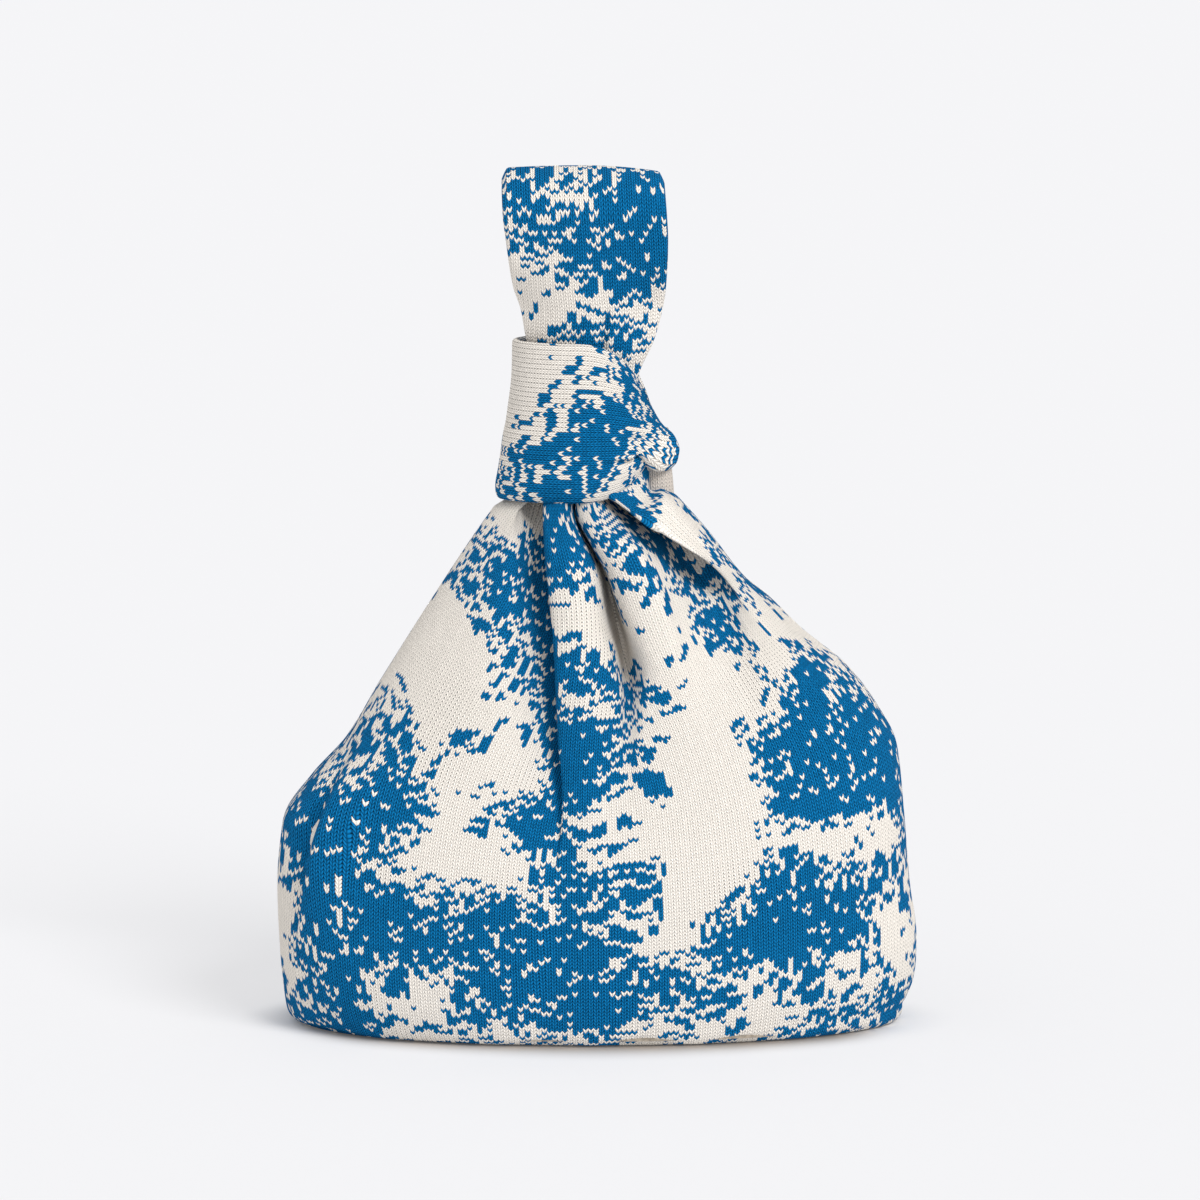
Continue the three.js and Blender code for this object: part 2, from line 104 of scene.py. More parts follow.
# How far the stitch columns lean from upright, in degrees, by height
LEFT_LEAN = ((0, 0), (40, 6), (80, 17), (125, 27), (150, 33), (226, 36))
PLEAT_LEAN = ((0, 0), (100, 0), (226, -6))
RECESS_LEAN = ((0, 0), (120, -4), (226, -15))
SECOND_LEAN = ((0, 0), (60, -9), (120, -20), (160, -26), (190, -30), (226, -36))
HOLLOW_LEAN = ((0, 0), (60, -12), (120, -24), (160, -28), (226, -40))
ROLL_LEAN = ((0, 0), (60, -13), (120, -28), (160, -36), (190, -48), (226, -58))
RIGHT_LEAN = ((0, 0), (60, -14), (120, -30), (160, -40), (190, -48), (226, -55))

# Lines that run down a panel: place across the grid, x by height (or one turn round the section), how far the
# cloth stands out by height, and the lean of its stitch columns. A line that passes its neighbour folds over.
LEVEL = ((0, 0), (250, 0))
FRONT_LINES = (
    # Middle of the left side, behind the crease
    (0.045, ((0, -127), (34, -134), (57, -133.5), (79, -131.5), (102, -121.5), (115, -114), (127, -104.7),
      (150, -91.1), (171, -77.8), (226, -42.4), (250, -34.6)),
     ((20, 0), (45, -2), (80, -6), (105, -6), (118, -3), (128, 0)), LEFT_LEAN),
    # Valley of the left crease
    (0.085, ((0, -121), (34, -129), (57, -126.4), (79, -122.4), (102, -114.4), (115, -108.5), (127, -102.6),
      (150, -89.3), (171, -76.2), (226, -41.5), (250, -33.9)),
     ((20, 0), (45, -2), (60, -4.5), (80, -9), (105, -9), (118, -6), (128, 0)), LEFT_LEAN),
    # Lip of the left crease
    (0.115, ((0, -118), (34, -128.3), (57, -126), (79, -122.6), (102, -115), (115, -108), (127, -99),
      (150, -86), (171, -73.5), (226, -40), (250, -32.6)),
     ((20, 0), (45, 0.5), (60, 1.5), (80, 3), (105, 3), (118, 1.5), (128, 0)), LEFT_LEAN),
    # Front beside the crease
    (0.16, ((0, -108), (34, -119), (57, -116), (79, -112), (102, -104), (127, -91.5), (150, -79.5),
      (171, -68), (226, -37), (250, -30.2)),
     ((20, 0), (45, 0.6), (80, 2.2), (105, 2), (130, 0)), LEFT_LEAN),
    (0.23, -0.52, LEVEL, LEFT_LEAN),
    # Slope of the left part into the first valley
    (0.32, ((0, -52), (106, -37), (171, -35), (226, -32), (250, -23)),
     ((70, 0), (106, -0.4), (171, -2), (226, -3)), LEFT_LEAN),
    # Edge of the first valley's floor
    (0.365, ((0, -36), (106, -21), (132, -21.5), (171, -22.5), (226, -26), (250, -18)),
     ((70, 0), (106, -3), (132, -8), (171, -13), (200, -14.5), (226, -13), (250, -8)), LEFT_LEAN),
    # Floor of the first valley, under the pleat
    (0.392, ((0, -30), (106, -14.5), (132, -13), (171, -12.6), (226, -17), (250, -14)),
     ((70, 0), (106, -4.5), (132, -11), (171, -17), (200, -18.5), (226, -16), (250, -8)), LEFT_LEAN),
    # Left lip of the first pleat
    (0.42, ((0, -24), (106, -14), (132, -16.2), (171, -18.4), (226, -23), (250, -17)),
     ((70, 0), (106, -0.4), (132, -0.8), (171, -1), (226, -0.8)), PLEAT_LEAN),
    # Ridge of the first pleat
    (0.452, ((0, -10), (106, -4.5), (123, -4.9), (169, -8.5), (226, -15), (250, -12)),
     ((60, 0), (100, 1.8), (130, 3.4), (165, 4.4), (200, 4.8), (226, 3)), PLEAT_LEAN),
    # Right lip of the first pleat
    (0.485, ((0, 4), (106, 7), (148, 8.5), (164, 6), (179, 2.2), (198, -0.2), (226, -10.1), (250, -8)),
     ((100, 0), (148, -0.4), (164, -1), (179, -1.4), (198, -2), (226, -2)), PLEAT_LEAN),
    # Floor of the dark recess
    (0.517, ((0, 11), (120, 13), (148, 13.5), (164, 11.8), (179, 8), (198, 3), (226, -9.2), (250, -7)),
     ((100, 0), (130, -2.5), (146, -8), (158, -18), (170, -26), (185, -28), (200, -26), (226, -17),
      (250, -8)), RECESS_LEAN),
    # Left lip of the second pleat
    (0.548, ((0, 19), (120, 20), (155, 21), (171, 16.5), (179, 13.2), (191, 8.3), (198, 5.6), (210, -1),
      (226, -8.8), (250, -6)),
     ((110, 0), (140, -0.6), (155, -1.6), (171, -2), (191, -2), (226, -2)), SECOND_LEAN),
    # Ridge of the second pleat
    (0.585, ((0, 33), (120, 37), (169, 31), (202, 18), (226, -1.2), (250, -2)),
     ((110, 0), (150, 2.2), (175, 4.8), (202, 6), (226, 3)), SECOND_LEAN),
    # Right edge of the second pleat
    (0.622, ((0, 46), (120, 53), (160, 46), (184, 34), (201, 24), (212, 15.5), (226, 4.5), (230, 2),
      (250, 0)),
     ((130, 0), (160, -1.5), (172, -3), (184, -5.5), (201, -7), (215, -6), (226, -3)), SECOND_LEAN),
    # Floor of the hollow under the shoulder roll
    (0.652, ((0, 56), (120, 65), (160, 61), (180, 50), (192, 40.5), (203, 30), (213, 19.5), (226, 7),
      (230, 4), (250, 1)),
     ((140, 0), (160, -3.5), (172, -9), (184, -17), (194, -23), (205, -26), (215, -25), (226, -18),
      (250, -8)), HOLLOW_LEAN),
    # Inside of the shoulder roll
    (0.68, ((0, 63), (120, 74), (160, 71), (180, 61), (190, 53.5), (195.7, 48), (200.7, 40), (205, 32.5),
      (217.6, 20), (226, 11.5), (230, 7.5), (250, 3)),
     ((160, 0), (178, -1.5), (190, -7), (196, -13), (205, -17), (215, -17), (226, -14), (250, -6)),
     HOLLOW_LEAN),
    # Lip of the shoulder roll
    (0.705, ((0, 70), (120, 82), (160, 79), (180, 64), (190, 53.5), (195.7, 45.5), (200.7, 36), (205, 27.8),
      (217.6, 16), (226, 8.5), (230, 4.6), (250, 2)),
     ((176, 0), (186, 0.5), (192, 2.2), (198, 4), (205, 5), (217, 4.5), (226, 2.5)), ROLL_LEAN),
    # Top of the shoulder roll
    (0.75, ((0, 92), (120, 104), (160, 91), (180, 71), (190, 60), (196, 52), (205, 37), (217, 25), (226, 18),
      (232, 13), (250, 8)),
     ((172, 0), (186, 1.6), (198, 4.4), (205, 5), (217, 4.5), (226, 2.5)), ROLL_LEAN),
)
BACK_LINES = (
    (0.11, -0.8, LEVEL, LEFT_LEAN),
    (0.23, -0.52, LEVEL, LEFT_LEAN),
    (0.36, ((0, -40), (120, -30), (226, -22), (250, -18)),
     ((70, 0), (120, -3), (180, -7), (226, -7)), LEFT_LEAN),
    (0.42, ((0, -24), (120, -18), (226, -15), (250, -12)),
     ((70, 0), (120, 1), (180, 2), (226, 1)), PLEAT_LEAN),
    (0.5, ((0, 0), (120, -4), (226, -6), (250, -6)),
     ((80, 0), (130, 1.5), (180, 3), (226, 2)), PLEAT_LEAN),
    (0.56, ((0, 18), (120, 12), (226, 0), (250, -2)),
     ((80, 0), (130, -1), (180, -3.5), (226, -6)), RECESS_LEAN),
    (0.63, ((0, 38), (120, 30), (226, 9), (250, 4)),
     ((80, 0), (130, 1), (180, 2.5), (226, 1)), SECOND_LEAN),
    (0.7, ((0, 60), (120, 50), (190, 30), (226, 16), (250, 8)),
     ((110, 0), (160, -2), (200, -7), (226, -7)), HOLLOW_LEAN),
    (0.76, ((0, 80), (120, 72), (190, 44), (226, 22), (250, 14)),
     ((130, 0), (170, 1), (205, 2), (226, 1)), ROLL_LEAN),
)

PANEL_COLUMNS = 300
PANEL_ROWS = 250
PANEL_TOP = 250.0
# Heights of the close rows at the hem, and of the first row above them
HEM_ROWS = (0, 0.25, 0.5, 0.8)
ABOVE_HEM = 1.2
# The line between the last fold and the right side: place across, and share of the turn that is left
RIGHT_PLACE = 0.87
RIGHT_SHARE = 0.55
WIDEST_SINE = 0.995
# Place across where the stitch columns stand upright, and the heights between which they turn to the folds
EVEN_MIDDLE = 0.46
FOLDED_LEAN = (90, 150)
# Heights between which the folds start to stand out
STAND_OUT = (20, 60)
# The hem: height off the ground, radius, and the lift, length and shift of its waves. They swell along it by
# a mean and a swing, with a length and a phase, rise just above the ground and fade higher up.
GROUND = 0.3
HEM_RADIUS = 4.5
HEM_LIFT = 1.1
HEM_WAVE = 44.0
HEM_SHIFT = 2.0
SWELL_MEAN, SWELL_SWING, SWELL_LENGTH, SWELL_PHASE = 0.55, 0.35, 31.0, 0.6
HEM_RISE = (0, 0.5)
HEM_FADE = (8, 45)

# Fitting the stitches: the turn between columns that counts as sharp, the least weight of an edge, the rounds
SHARP_TURN = 0.02
LEAST_WEIGHT = 0.004
FIT_ROUNDS = 700
LEAST_LENGTH = 1e-9
# Points nearer than this are welded, in metres
WELD_DISTANCE = 1e-7
# Columns across and rings inwards of a flat sheet
PLATE_COLUMNS, PLATE_RINGS = 161, 40
# Grid of a lining panel, its room inside the body, the slack added between two heights, and its base's room
LINING_ROWS, LINING_COLUMNS = 60, 90
LINING_ROOM, LINING_SLACK, SLACK_HEIGHTS = 6.2, 24.0, (90, 170)
LINING_BASE_ROOM = 4.0

# Where a piece's cloth lies in the endless pattern, in millimetres, other than at its start
CLOTH_PLACE = {
    "back_panel": 400.0, "short_handle_band": 900.0, "long_handle": 1200.0, "handle_root": 1500.0
}


def smooth(value, low, high):
    """0 up to low, 1 from high, and 3t^2 - 2t^3 between."""
    t = np.clip((value - low) / (high - low), 0, 1)
    return t * t * (3 - 2 * t)


def mix(a, b, share):
    """The straight mix of a and b."""
    return a + (b - a) * share


def joined(*parts):
    """Coordinates from one grid each, spread to the same shape."""
    return np.stack(np.broadcast_arrays(*parts), axis=-1)


def cubic(places, values, tangent, at):
    """Cubics along the last axis of values, with a value and a slope at each place."""
    i = np.clip(np.searchsorted(places, at, side="right") - 1, 0, len(places) - 2)
    step = np.diff(places)[i]
    t = (at - places[i]) / step
    start = t * (1 - t) ** 2 * step * tangent[..., i]
    end = t * t * (t - 1) * step * tangent[..., i + 1]
    return mix(values[..., i], values[..., i + 1], t * t * (3 - 2 * t)) + start + end


def through(points, at):
    """A cubic through (position, value) points that doesn't overshoot.

    The slope at a point is the harmonic mean of its neighbours' slopes, or 0 where they change sign.
    """
    places, values = np.array(points, float).T
    slope = np.diff(values) / np.diff(places)
    before, after = slope[:-1], slope[1:]
    same = before * after > 0
    inner = np.where(same, 2 * before * after / np.where(same, before + after, 1), 0)
    tangent = np.concatenate([slope[:1], inner, slope[-1:]])
    return cubic(places, values, tangent, np.clip(at, places[0], places[-1]))


def across_lines(places, values, at):
    """Rows of cubics through lines: values is rows by lines, at the places across.

    The slope at a line is the mean of its neighbours' slopes, each weighted by the other's step.
    """
    step = np.diff(places)
    slope = np.diff(values, axis=1) / step
    inner = (slope[:, :-1] * step[1:] + slope[:, 1:] * step[:-1]) / (step[1:] + step[:-1])
    tangent = np.concatenate([slope[:, :1], inner, slope[:, -1:]], axis=1)
    return cubic(places, values, tangent, at)


def gathered(x, sizes):
    """How gathered the band is at x: a power of the share of the way to its right end, 0 at the left."""
    half = sizes.band_half_width / MM
    across = np.clip((x - sizes.neck_x / MM) / half, -GATHER_START, 1)
    return ((across + GATHER_START) / (1 + GATHER_START)) ** GATHER_POWER


def body_section(height, inset, sizes):
    """The section's middle, left and right half widths, depth and two exponents, as columns by height.

    A reach is mixed from the shoulder's to the widest by its outline, then to the neck's near the knot. The
    hem's quarter round and the inset are taken off it.
    """
    knot = sizes.body_height / MM
    share = height / knot
    neck_x = sizes.neck_x / MM

    def reach(widest, shoulder, outline, neck, drawn_in):
        body = mix(shoulder, widest / MM, through(outline, share))
        return mix(body, neck, smooth(height - knot, *drawn_in))

    widest = sizes.half_width
    left = reach(widest, LEFT_SHOULDER, LEFT_OUTLINE, NECK_HALF_WIDTH - neck_x, LEFT_DRAWN_IN)
    right = reach(widest, RIGHT_SHOULDER, RIGHT_OUTLINE, NECK_HALF_WIDTH + neck_x, RIGHT_DRAWN_IN)
    face = reach(sizes.half_depth, FACE_SHOULDER, FACE_OUTLINE, NECK_HALF_DEPTH, FACE_DRAWN_IN)
    middle = neck_x * smooth(share, LEAN_START, 1)
    hem = np.clip(HEM_RADIUS - height, 0, HEM_RADIUS)
    hem_in = HEM_RADIUS - np.sqrt(HEM_RADIUS**2 - hem**2)
    drawn = inset + hem_in
    fullness = through(LEFT_FULLNESS, share), through(RIGHT_FULLNESS, share)
    parts = (middle, left + middle - drawn, right - middle - drawn, face - drawn, *fullness)
    return [part[:, None] for part in parts]


def skin(section, turn):
    """A point of the front half section.

    x is middle + half * sin(90 degrees * turn), and y is -face * (1 - |sin|^n)^(1/n).
    """
    middle, left, right, face, left_n, right_n = section
    sine = np.sin(np.clip(turn, -1, 1) * math.pi / 2)
    half = np.where(sine < 0, left, right)
    power = np.where(sine < 0, left_n, right_n)
    return middle + half * sine, -face * np.clip(1 - np.abs(sine) ** power, 0, 1) ** (1 / power)


def panel_grid(lines, side, sizes):
    """Points and stitch directions of a body panel.

    Across a row, the turn round the section, the stand-out and the lean are cubics through the panel's lines.
    The point is the section's skin moved straight out from the bag's middle plane by the stand-out. Near the
    knot it rises with the band, and at the hem it rises in waves that leave the ground.
    """
    height = np.concatenate([HEM_ROWS, np.linspace(ABOVE_HEM, PANEL_TOP, PANEL_ROWS - len(HEM_ROWS))])
    section = body_section(height, 0.0, sizes)
    middle, left, right = section[0][:, 0], section[1][:, 0], section[2][:, 0]
    first, last = through(LEFT_LEAN, height), through(RIGHT_LEAN, height)
    flat = np.zeros_like(height)
    turns, outs, leans = [flat - 1], [flat], [first]
    for _, xs, out, lean in lines:
        if isinstance(xs, float):
            turns.append(flat + xs)
        else:
            offset = through(xs, height) - middle
            half = np.where(offset < 0, left, right)
            turns.append(np.arcsin(np.clip(offset / half, -WIDEST_SINE, WIDEST_SINE)) * 2 / math.pi)
        outs.append(through(out, height))
        leans.append(through(lean, height))
    places = np.array([0, *[line[0] for line in lines], RIGHT_PLACE, 1])
    turns += [mix(turns[-1], 1, RIGHT_SHARE), flat + 1]
    outs += [flat, flat]
    leans += [last, last]
    at = np.linspace(0, 1, PANEL_COLUMNS)
    turn, out, folded = [across_lines(places, np.array(rows).T, at) for rows in (turns, outs, leans)]
    even = first[:, None] * np.maximum(1 - at / EVEN_MIDDLE, 0)
    even = even + last[:, None] * np.maximum((at - EVEN_MIDDLE) / (1 - EVEN_MIDDLE), 0)
    lean = np.radians(mix(even, folded, smooth(height, *FOLDED_LEAN)[:, None]))
    x, y = skin(section, turn)
    y = y - out * smooth(height, *STAND_OUT)[:, None]
    near = smooth(height / (sizes.body_height / MM), SHOULDER_START, 1)[:, None]
    swell = SWELL_MEAN + SWELL_SWING * np.sin(x / SWELL_LENGTH + SWELL_PHASE)
    wave = HEM_LIFT * (1 - np.cos((x + HEM_SHIFT) * 2 * math.pi / HEM_WAVE)) * swell
    low = (smooth(height, *HEM_RISE) * (1 - smooth(height, *HEM_FADE)))[:, None]
    z = GROUND + height[:, None] + near * BAND_RIGHT_LIFT * gathered(x, sizes) + wave * low
    points = joined(x, -side * y, z)
    stitches = joined(np.sin(lean), 0, np.cos(lean))
    if side > 0:
        points, stitches = points[:, ::-1], stitches[:, ::-1]
    return points, stitches


def unit(vectors):
    """Vectors of length one."""
    return vectors / np.maximum(np.linalg.norm(vectors, axis=-1, keepdims=True), LEAST_LENGTH)


def fitted(across, along, weight_across, weight_along, start):
    """The grid of values whose steps to their neighbours best match the wanted ones.

    It is the weighted least squares answer, found by conjugate gradients scaled by each point's weights.
    """

    def collected(a, b, sign):
        total = np.zeros_like(start)
        total[:, 1:] += a
        total[:, :-1] += sign * a
        total[1:] += b
        total[:-1] += sign * b
        return total

    def apply(values):
        return collected(weight_across * np.diff(values, axis=1), weight_along * np.diff(values, axis=0), -1)

    weight_sum = collected(weight_across, weight_along, 1)
    values = start.copy()
    left_over = collected(weight_across * across, weight_along * along, -1) - apply(values)
    scaled = left_over / weight_sum
    way = scaled.copy()
    size = np.sum(left_over * scaled)
    for _ in range(FIT_ROUNDS):
        moved = apply(way)
        length = size / np.sum(way * moved)
        values += length * way
        left_over -= length * moved
        scaled = left_over / weight_sum
        new_size = np.sum(left_over * scaled)
        way = scaled + way * (new_size / size)
        size = new_size
    return values


def knit_coordinates(points, stitches):
    """Cloth coordinates in millimetres: v grows along the stitch columns and u across them, unskewed.

    The wanted step of v along a grid edge is the edge dotted with the column's direction in the surface, that
    of u with the direction square to it. Edges where the direction turns sharply count for little.
    """
    normal = unit(np.cross(np.gradient(points, axis=1), np.gradient(points, axis=0)))
    column = unit(stitches - np.sum(stitches * normal, axis=-1, keepdims=True) * normal)
    course = np.cross(column, normal)
    edges = [np.diff(points, axis=1), np.diff(points, axis=0)]
    means = [lambda f: (f[:, 1:] + f[:, :-1]) / 2, lambda f: (f[1:] + f[:-1]) / 2]
    turn = np.linalg.norm(np.diff(stitches, axis=1), axis=-1)
    weights = [1 / (1 + (turn / SHARP_TURN) ** 2) + LEAST_WEIGHT, np.ones(edges[1].shape[:2])]
    grids = []
    for direction, start in ((course, points[..., 0]), (column, points[..., 2])):
        wanted = [np.sum(edge * mean(direction), axis=-1) for edge, mean in zip(edges, means)]
        grids.append(fitted(*wanted, *weights, start))
    return joined(*grids)


def grid_mesh(name, points, cloth, finish):
    """An object of quads over a grid of points in millimetres; cloth coordinates become the UV map in metres.

    The cloth is moved to the piece's place in the pattern. Points that lie on each other are welded, so a
    grid whose last row or column repeats the first one closes.
    """
    cloth = cloth + CLOTH_PLACE.get(name, 0.0)
    index = np.arange(points.shape[0] * points.shape[1]).reshape(points.shape[:2])
    corners = (index[:-1, :-1], index[:-1, 1:], index[1:, 1:], index[1:, :-1])
    quads = np.stack(corners, axis=-1).reshape(-1, 4)
    mesh = bpy.data.meshes.new(name)
    mesh.from_pydata(points.reshape(-1, 3) * MM, [], quads)
    layer = mesh.uv_layers.new(name="knit")
    layer.data.foreach_set("uv", (cloth.reshape(-1, 2) * MM)[quads].astype(np.float32).ravel())
    welded = bmesh.new()
    welded.from_mesh(mesh)
    bmesh.ops.remove_doubles(welded, verts=welded.verts, dist=WELD_DISTANCE)
    welded.to_mesh(mesh)
    welded.free()
    mesh.polygons.foreach_set("use_smooth", np.ones(len(mesh.polygons), bool))
    mesh.materials.append(finish)
    mesh.update()
    piece = bpy.data.objects.new(name, mesh)
    bpy.context.scene.collection.objects.link(piece)
    return piece


class Value:
    """A shader socket whose arithmetic adds Math nodes."""

    def __init__(self, finish, socket):
        self.finish = finish
        self.socket = socket

    def math(self, operation, *others):
        inputs = dict(enumerate((self, *others)))
        return self.finish.add("Math", inputs, operation=operation)

    __add__ = __radd__ = partialmethod(math, "ADD")
    __sub__ = partialmethod(math, "SUBTRACT")
    __mul__ = __rmul__ = partialmethod(math, "MULTIPLY")
    __truediv__ = partialmethod(math, "DIVIDE")
    __pow__ = partialmethod(math, "POWER")
    __lt__ = partialmethod(math, "LESS_THAN")
    __gt__ = partialmethod(math, "GREATER_THAN")
    __abs__ = partialmethod(math, "ABSOLUTE")
    __neg__ = partialmethod(math, "MULTIPLY", -1.0)
    floor = partialmethod(math, "FLOOR")

    def __rsub__(self, other):
        return -self + other

    def __rtruediv__(self, other):
        return self**-1.0 * other

    def within(self, low, high):
        """0 below low, 1 above high, smooth between."""
        inputs = {"Value": self, "From Min": low, "From Max": high}
        return self.finish.add("MapRange", inputs, interpolation_type="SMOOTHSTEP")


class Finish:
    """A new material and its node tree."""

    def __init__(self, name):
        self.material = bpy.data.materials.new(name)
        self.material.use_nodes = True
        self.tree = self.material.node_tree

    def add(self, kind, inputs, output=0, **settings):
        """A shader node with the values or links of its sockets; gives one of its outputs."""
        node = self.tree.nodes.new("ShaderNode" + kind)
        for key, value in settings.items():
            setattr(node, key, value)
        for key, value in inputs.items():
            self.feed(node.inputs[key], value)
        return Value(self, node.outputs[output])

    def feed(self, socket, value):
        if isinstance(value, Value):
            self.tree.links.new(value.socket, socket)
        else:
            socket.default_value = value

    def blend(self, share, first, second):
        """A mix of two colours."""
        return self.add("Mix", {0: share, 6: first, 7: second}, 2, data_type="RGBA")

    def noise(self, place, scale, detail=1.0, output=0):
        inputs = {"Vector": place, "Scale": scale, "Detail": detail}
        return self.add("TexNoise", inputs, output, noise_dimensions="2D")

    def place(self, x, y):
        return self.add("CombineXYZ", {"X": x, "Y": y})

    def parts(self, vector):
        return [self.add("SeparateXYZ", {"Vector": vector}, axis) for axis in range(3)]

    def done(self, **sockets):
        shader = self.tree.nodes["Principled BSDF"]
        for key, value in sockets.items():
            self.feed(shader.inputs[key.replace("_", " ").title().replace("Ior", "IOR")], value)
        return self.material


# The pattern: scale and bend of its swirl, scale and stretch of its tone, scale and bend of its ragged edges,
# then its marks: turn, count per metre, tones at which they appear and close up, and the gap between them
SWIRL_SCALE, SWIRL_BEND = 17.0, (0.045, 0.05)
TONE_SCALE, TONE_STRETCH = 17.0, 0.8
RAGGED_SCALE, RAGGED_BEND = 110.0, 0.012
MARK_COS, MARK_SIN = 0.9, 0.44
MARKS_ALONG, MARKS_ACROSS = 95.0, 170.0
MARK_TONES, CLOSING_TONES = (0.32, 0.49), (0.42, 0.6)
MARK_GAP, GAP_CHANGE = 0.15, 0.05
# A stitch: how round the yarn and its arms are, an arm's place, unevenness, and the relief over which the
# colour turns from painted groove shade to painted crest highlight
YARN_ROUND, ARM_ROUND, ARM_PLACE = 3.4, 14.0, 0.25
UNEVEN_SCALE, UNEVEN_SHARE = 400.0, 0.5
PAINTED_LIGHT_RELIEF = (0.05, 0.95)
# Painted shade in the groove and painted highlight on the crest, as shares of the yarn's colour
CREAM_PAINTED_LIGHT, BLUE_PAINTED_LIGHT = (0.8, 1.03), (0.5, 1.42)
# The pin-holes, painted shade: where they lie, and how dark that painted shade is in slack knit and how much
# more in stretched knit
HOLE_ACROSS, HOLE_ALONG = (0.28, 0.43), (-0.36, 0.02)
STRETCH_SCALE, STRETCH_TONES = 14.0, (0.4, 0.62)
HOLE_SHADE_SLACK, HOLE_SHADE_MORE = 0.34, 0.5
# The lining's cross threads and slubs, the board's flecks, and the darker share of each one's colour
CROSS_THREADS, SLUBS, LINING_SHADE = 0.3, (30.0, 400.0), 0.82
FLECK_TONES, BOARD_SHADE = (0.35, 0.65), 0.6


def shaded(paint, share):
    """A colour times a share, as a shader colour."""
    return (*[part * share for part in paint], 1)


def leaf_mask(finish, x, y):
    """1 where a stitch is blue: sprays of leaf-shaped marks that close up into solid masses.

    The marks are Voronoi cells of bent, stretched coordinates. A cell is blue where its own random number is
    below a share that grows with the tone, a large noise, and the gaps narrow as the tone grows. All of it is
    taken at the stitch's centre, so whole stitches change colour.
    """
    at = finish.place(x, y)
    swirl_x, swirl_y, _ = finish.parts(finish.noise(at, SWIRL_SCALE, output=1))
    bent_x = x + (swirl_x - 0.5) * SWIRL_BEND[0]
    bent_y = y + (swirl_y - 0.5) * SWIRL_BEND[1]
    tone = finish.noise(finish.place(bent_x * TONE_STRETCH, bent_y), TONE_SCALE, detail=2.0)
    ragged_x, ragged_y, _ = finish.parts(finish.noise(at, RAGGED_SCALE, output=1))
    bent_x = bent_x + (ragged_x - 0.5) * RAGGED_BEND
    bent_y = bent_y + (ragged_y - 0.5) * RAGGED_BEND
    along = bent_x * MARK_COS + bent_y * MARK_SIN
    across = bent_y * MARK_COS - bent_x * MARK_SIN
    marks = {"Vector": finish.place(along * MARKS_ALONG, across * MARKS_ACROSS), "Scale": 1.0}
    cell = finish.add("TexVoronoi", marks, 1, voronoi_dimensions="2D")
    edge = finish.add("TexVoronoi", marks, voronoi_dimensions="2D", feature="DISTANCE_TO_EDGE")
    chance, other, _ = finish.parts(cell)
    leaf = chance < tone.within(*MARK_TONES)
    gap = edge < (1 - tone.within(*CLOSING_TONES)) * MARK_GAP + other * GAP_CHANGE
    return leaf * (1 - gap)


def knit_finish(name, look, patterned):
    """Stockinette: V stitches in columns, with a colour for each whole stitch.

    A stitch's column is floor(u / wale) and its row floor(v / course - rise * |offset from the column's
    middle|), which gives the V. Relief is the yarn's round section times that of its two arms, and with it
    the colour runs from painted shade in the groove to a painted highlight on the crest. Pin-holes between
    the columns are painted shade, darker where a large noise stretches the knit.
    """
    finish = Finish(name)
    cloth = finish.add("UVMap", {}, uv_map="knit")
    u, v, _ = finish.parts(cloth)
    wales = u / look.wale
    column = wales.floor()
    offset = abs(wales - column - 0.5)
    stack = v / look.course - offset * (2 * look.vee)
    row = stack.floor()
    along = stack - row - 0.5
    yarn = 1 - along * along * YARN_ROUND
    arm = 1 - (offset - ARM_PLACE) * (offset - ARM_PLACE) * ARM_ROUND
    relief = yarn * arm
    x = (column + 0.5) * look.wale
    y = (row + 0.5) * look.course
    at = finish.place(x, y)
    uneven = finish.noise(at, UNEVEN_SCALE)
    crest = (relief + (uneven - 0.5) * UNEVEN_SHARE).within(*PAINTED_LIGHT_RELIEF)
    # the plain reverse's colour is partly the purl side's warmer tone and partly painted shade
    cream = look.cream if patterned else look.reverse
    # painted shade in each stitch's groove and a painted highlight on its crest, on the cream yarn
    ground = finish.blend(crest, *[shaded(cream, share) for share in CREAM_PAINTED_LIGHT])
    if patterned:
        # the blue yarn with the same painted groove shade and crest highlight
        pattern = finish.blend(crest, *[shaded(look.blue, share) for share in BLUE_PAINTED_LIGHT])
        ground = finish.blend(leaf_mask(finish, x, y), ground, pattern)
    # painted shade in the pin-holes between the stitch columns, darker where the knit is stretched
    stretched = finish.noise(at, STRETCH_SCALE).within(*STRETCH_TONES) * HOLE_SHADE_MORE + HOLE_SHADE_SLACK
    hole_shade = offset.within(*HOLE_ACROSS) * (1 - along.within(*HOLE_ALONG)) * stretched
    paint = finish.add("VectorMath", {0: ground, "Scale": 1 - hole_shade}, operation="SCALE")
    bump = finish.add("Bump", {"Strength": 0.8, "Distance": 0.0007, "Height": relief})
    return finish.done(base_color=paint, normal=bump, roughness=0.95, specular_ior_level=0.04)


def shared_knit(look, patterned=True):
    """The two-colour knit, or its plain reverse, made once; the reverse's darker colour is partly its own
    warmer tone and partly painted shade.
    """
    name = "two_colour_knit_painted_light" if patterned else "reverse_knit_painted_shade"
    return bpy.data.materials.get(name) or knit_finish(name, look, patterned)


def woven_finish(name, look):
    """Plain weave: threads over and under in a checker of rounded bumps on object coordinates."""
    finish = Finish(name)
    place = finish.add("TexCoord", {}, "Object")
    x, y, z = finish.parts(place)
    turn = 2 * math.pi / look.thread
    threads = (x * turn).math("SINE") * (z * turn).math("SINE")
    weave = threads + (y * turn).math("SINE") * CROSS_THREADS
    slub = finish.noise(finish.place(x * SLUBS[0], z * SLUBS[1]), 1.0, detail=2.0)
    paint = finish.blend(slub, shaded(look.lining, 1), shaded(look.lining, LINING_SHADE))
    bump = finish.add("Bump", {"Strength": 0.5, "Distance": 0.0003, "Height": weave})
    return finish.done(base_color=paint, normal=bump, roughness=0.85)


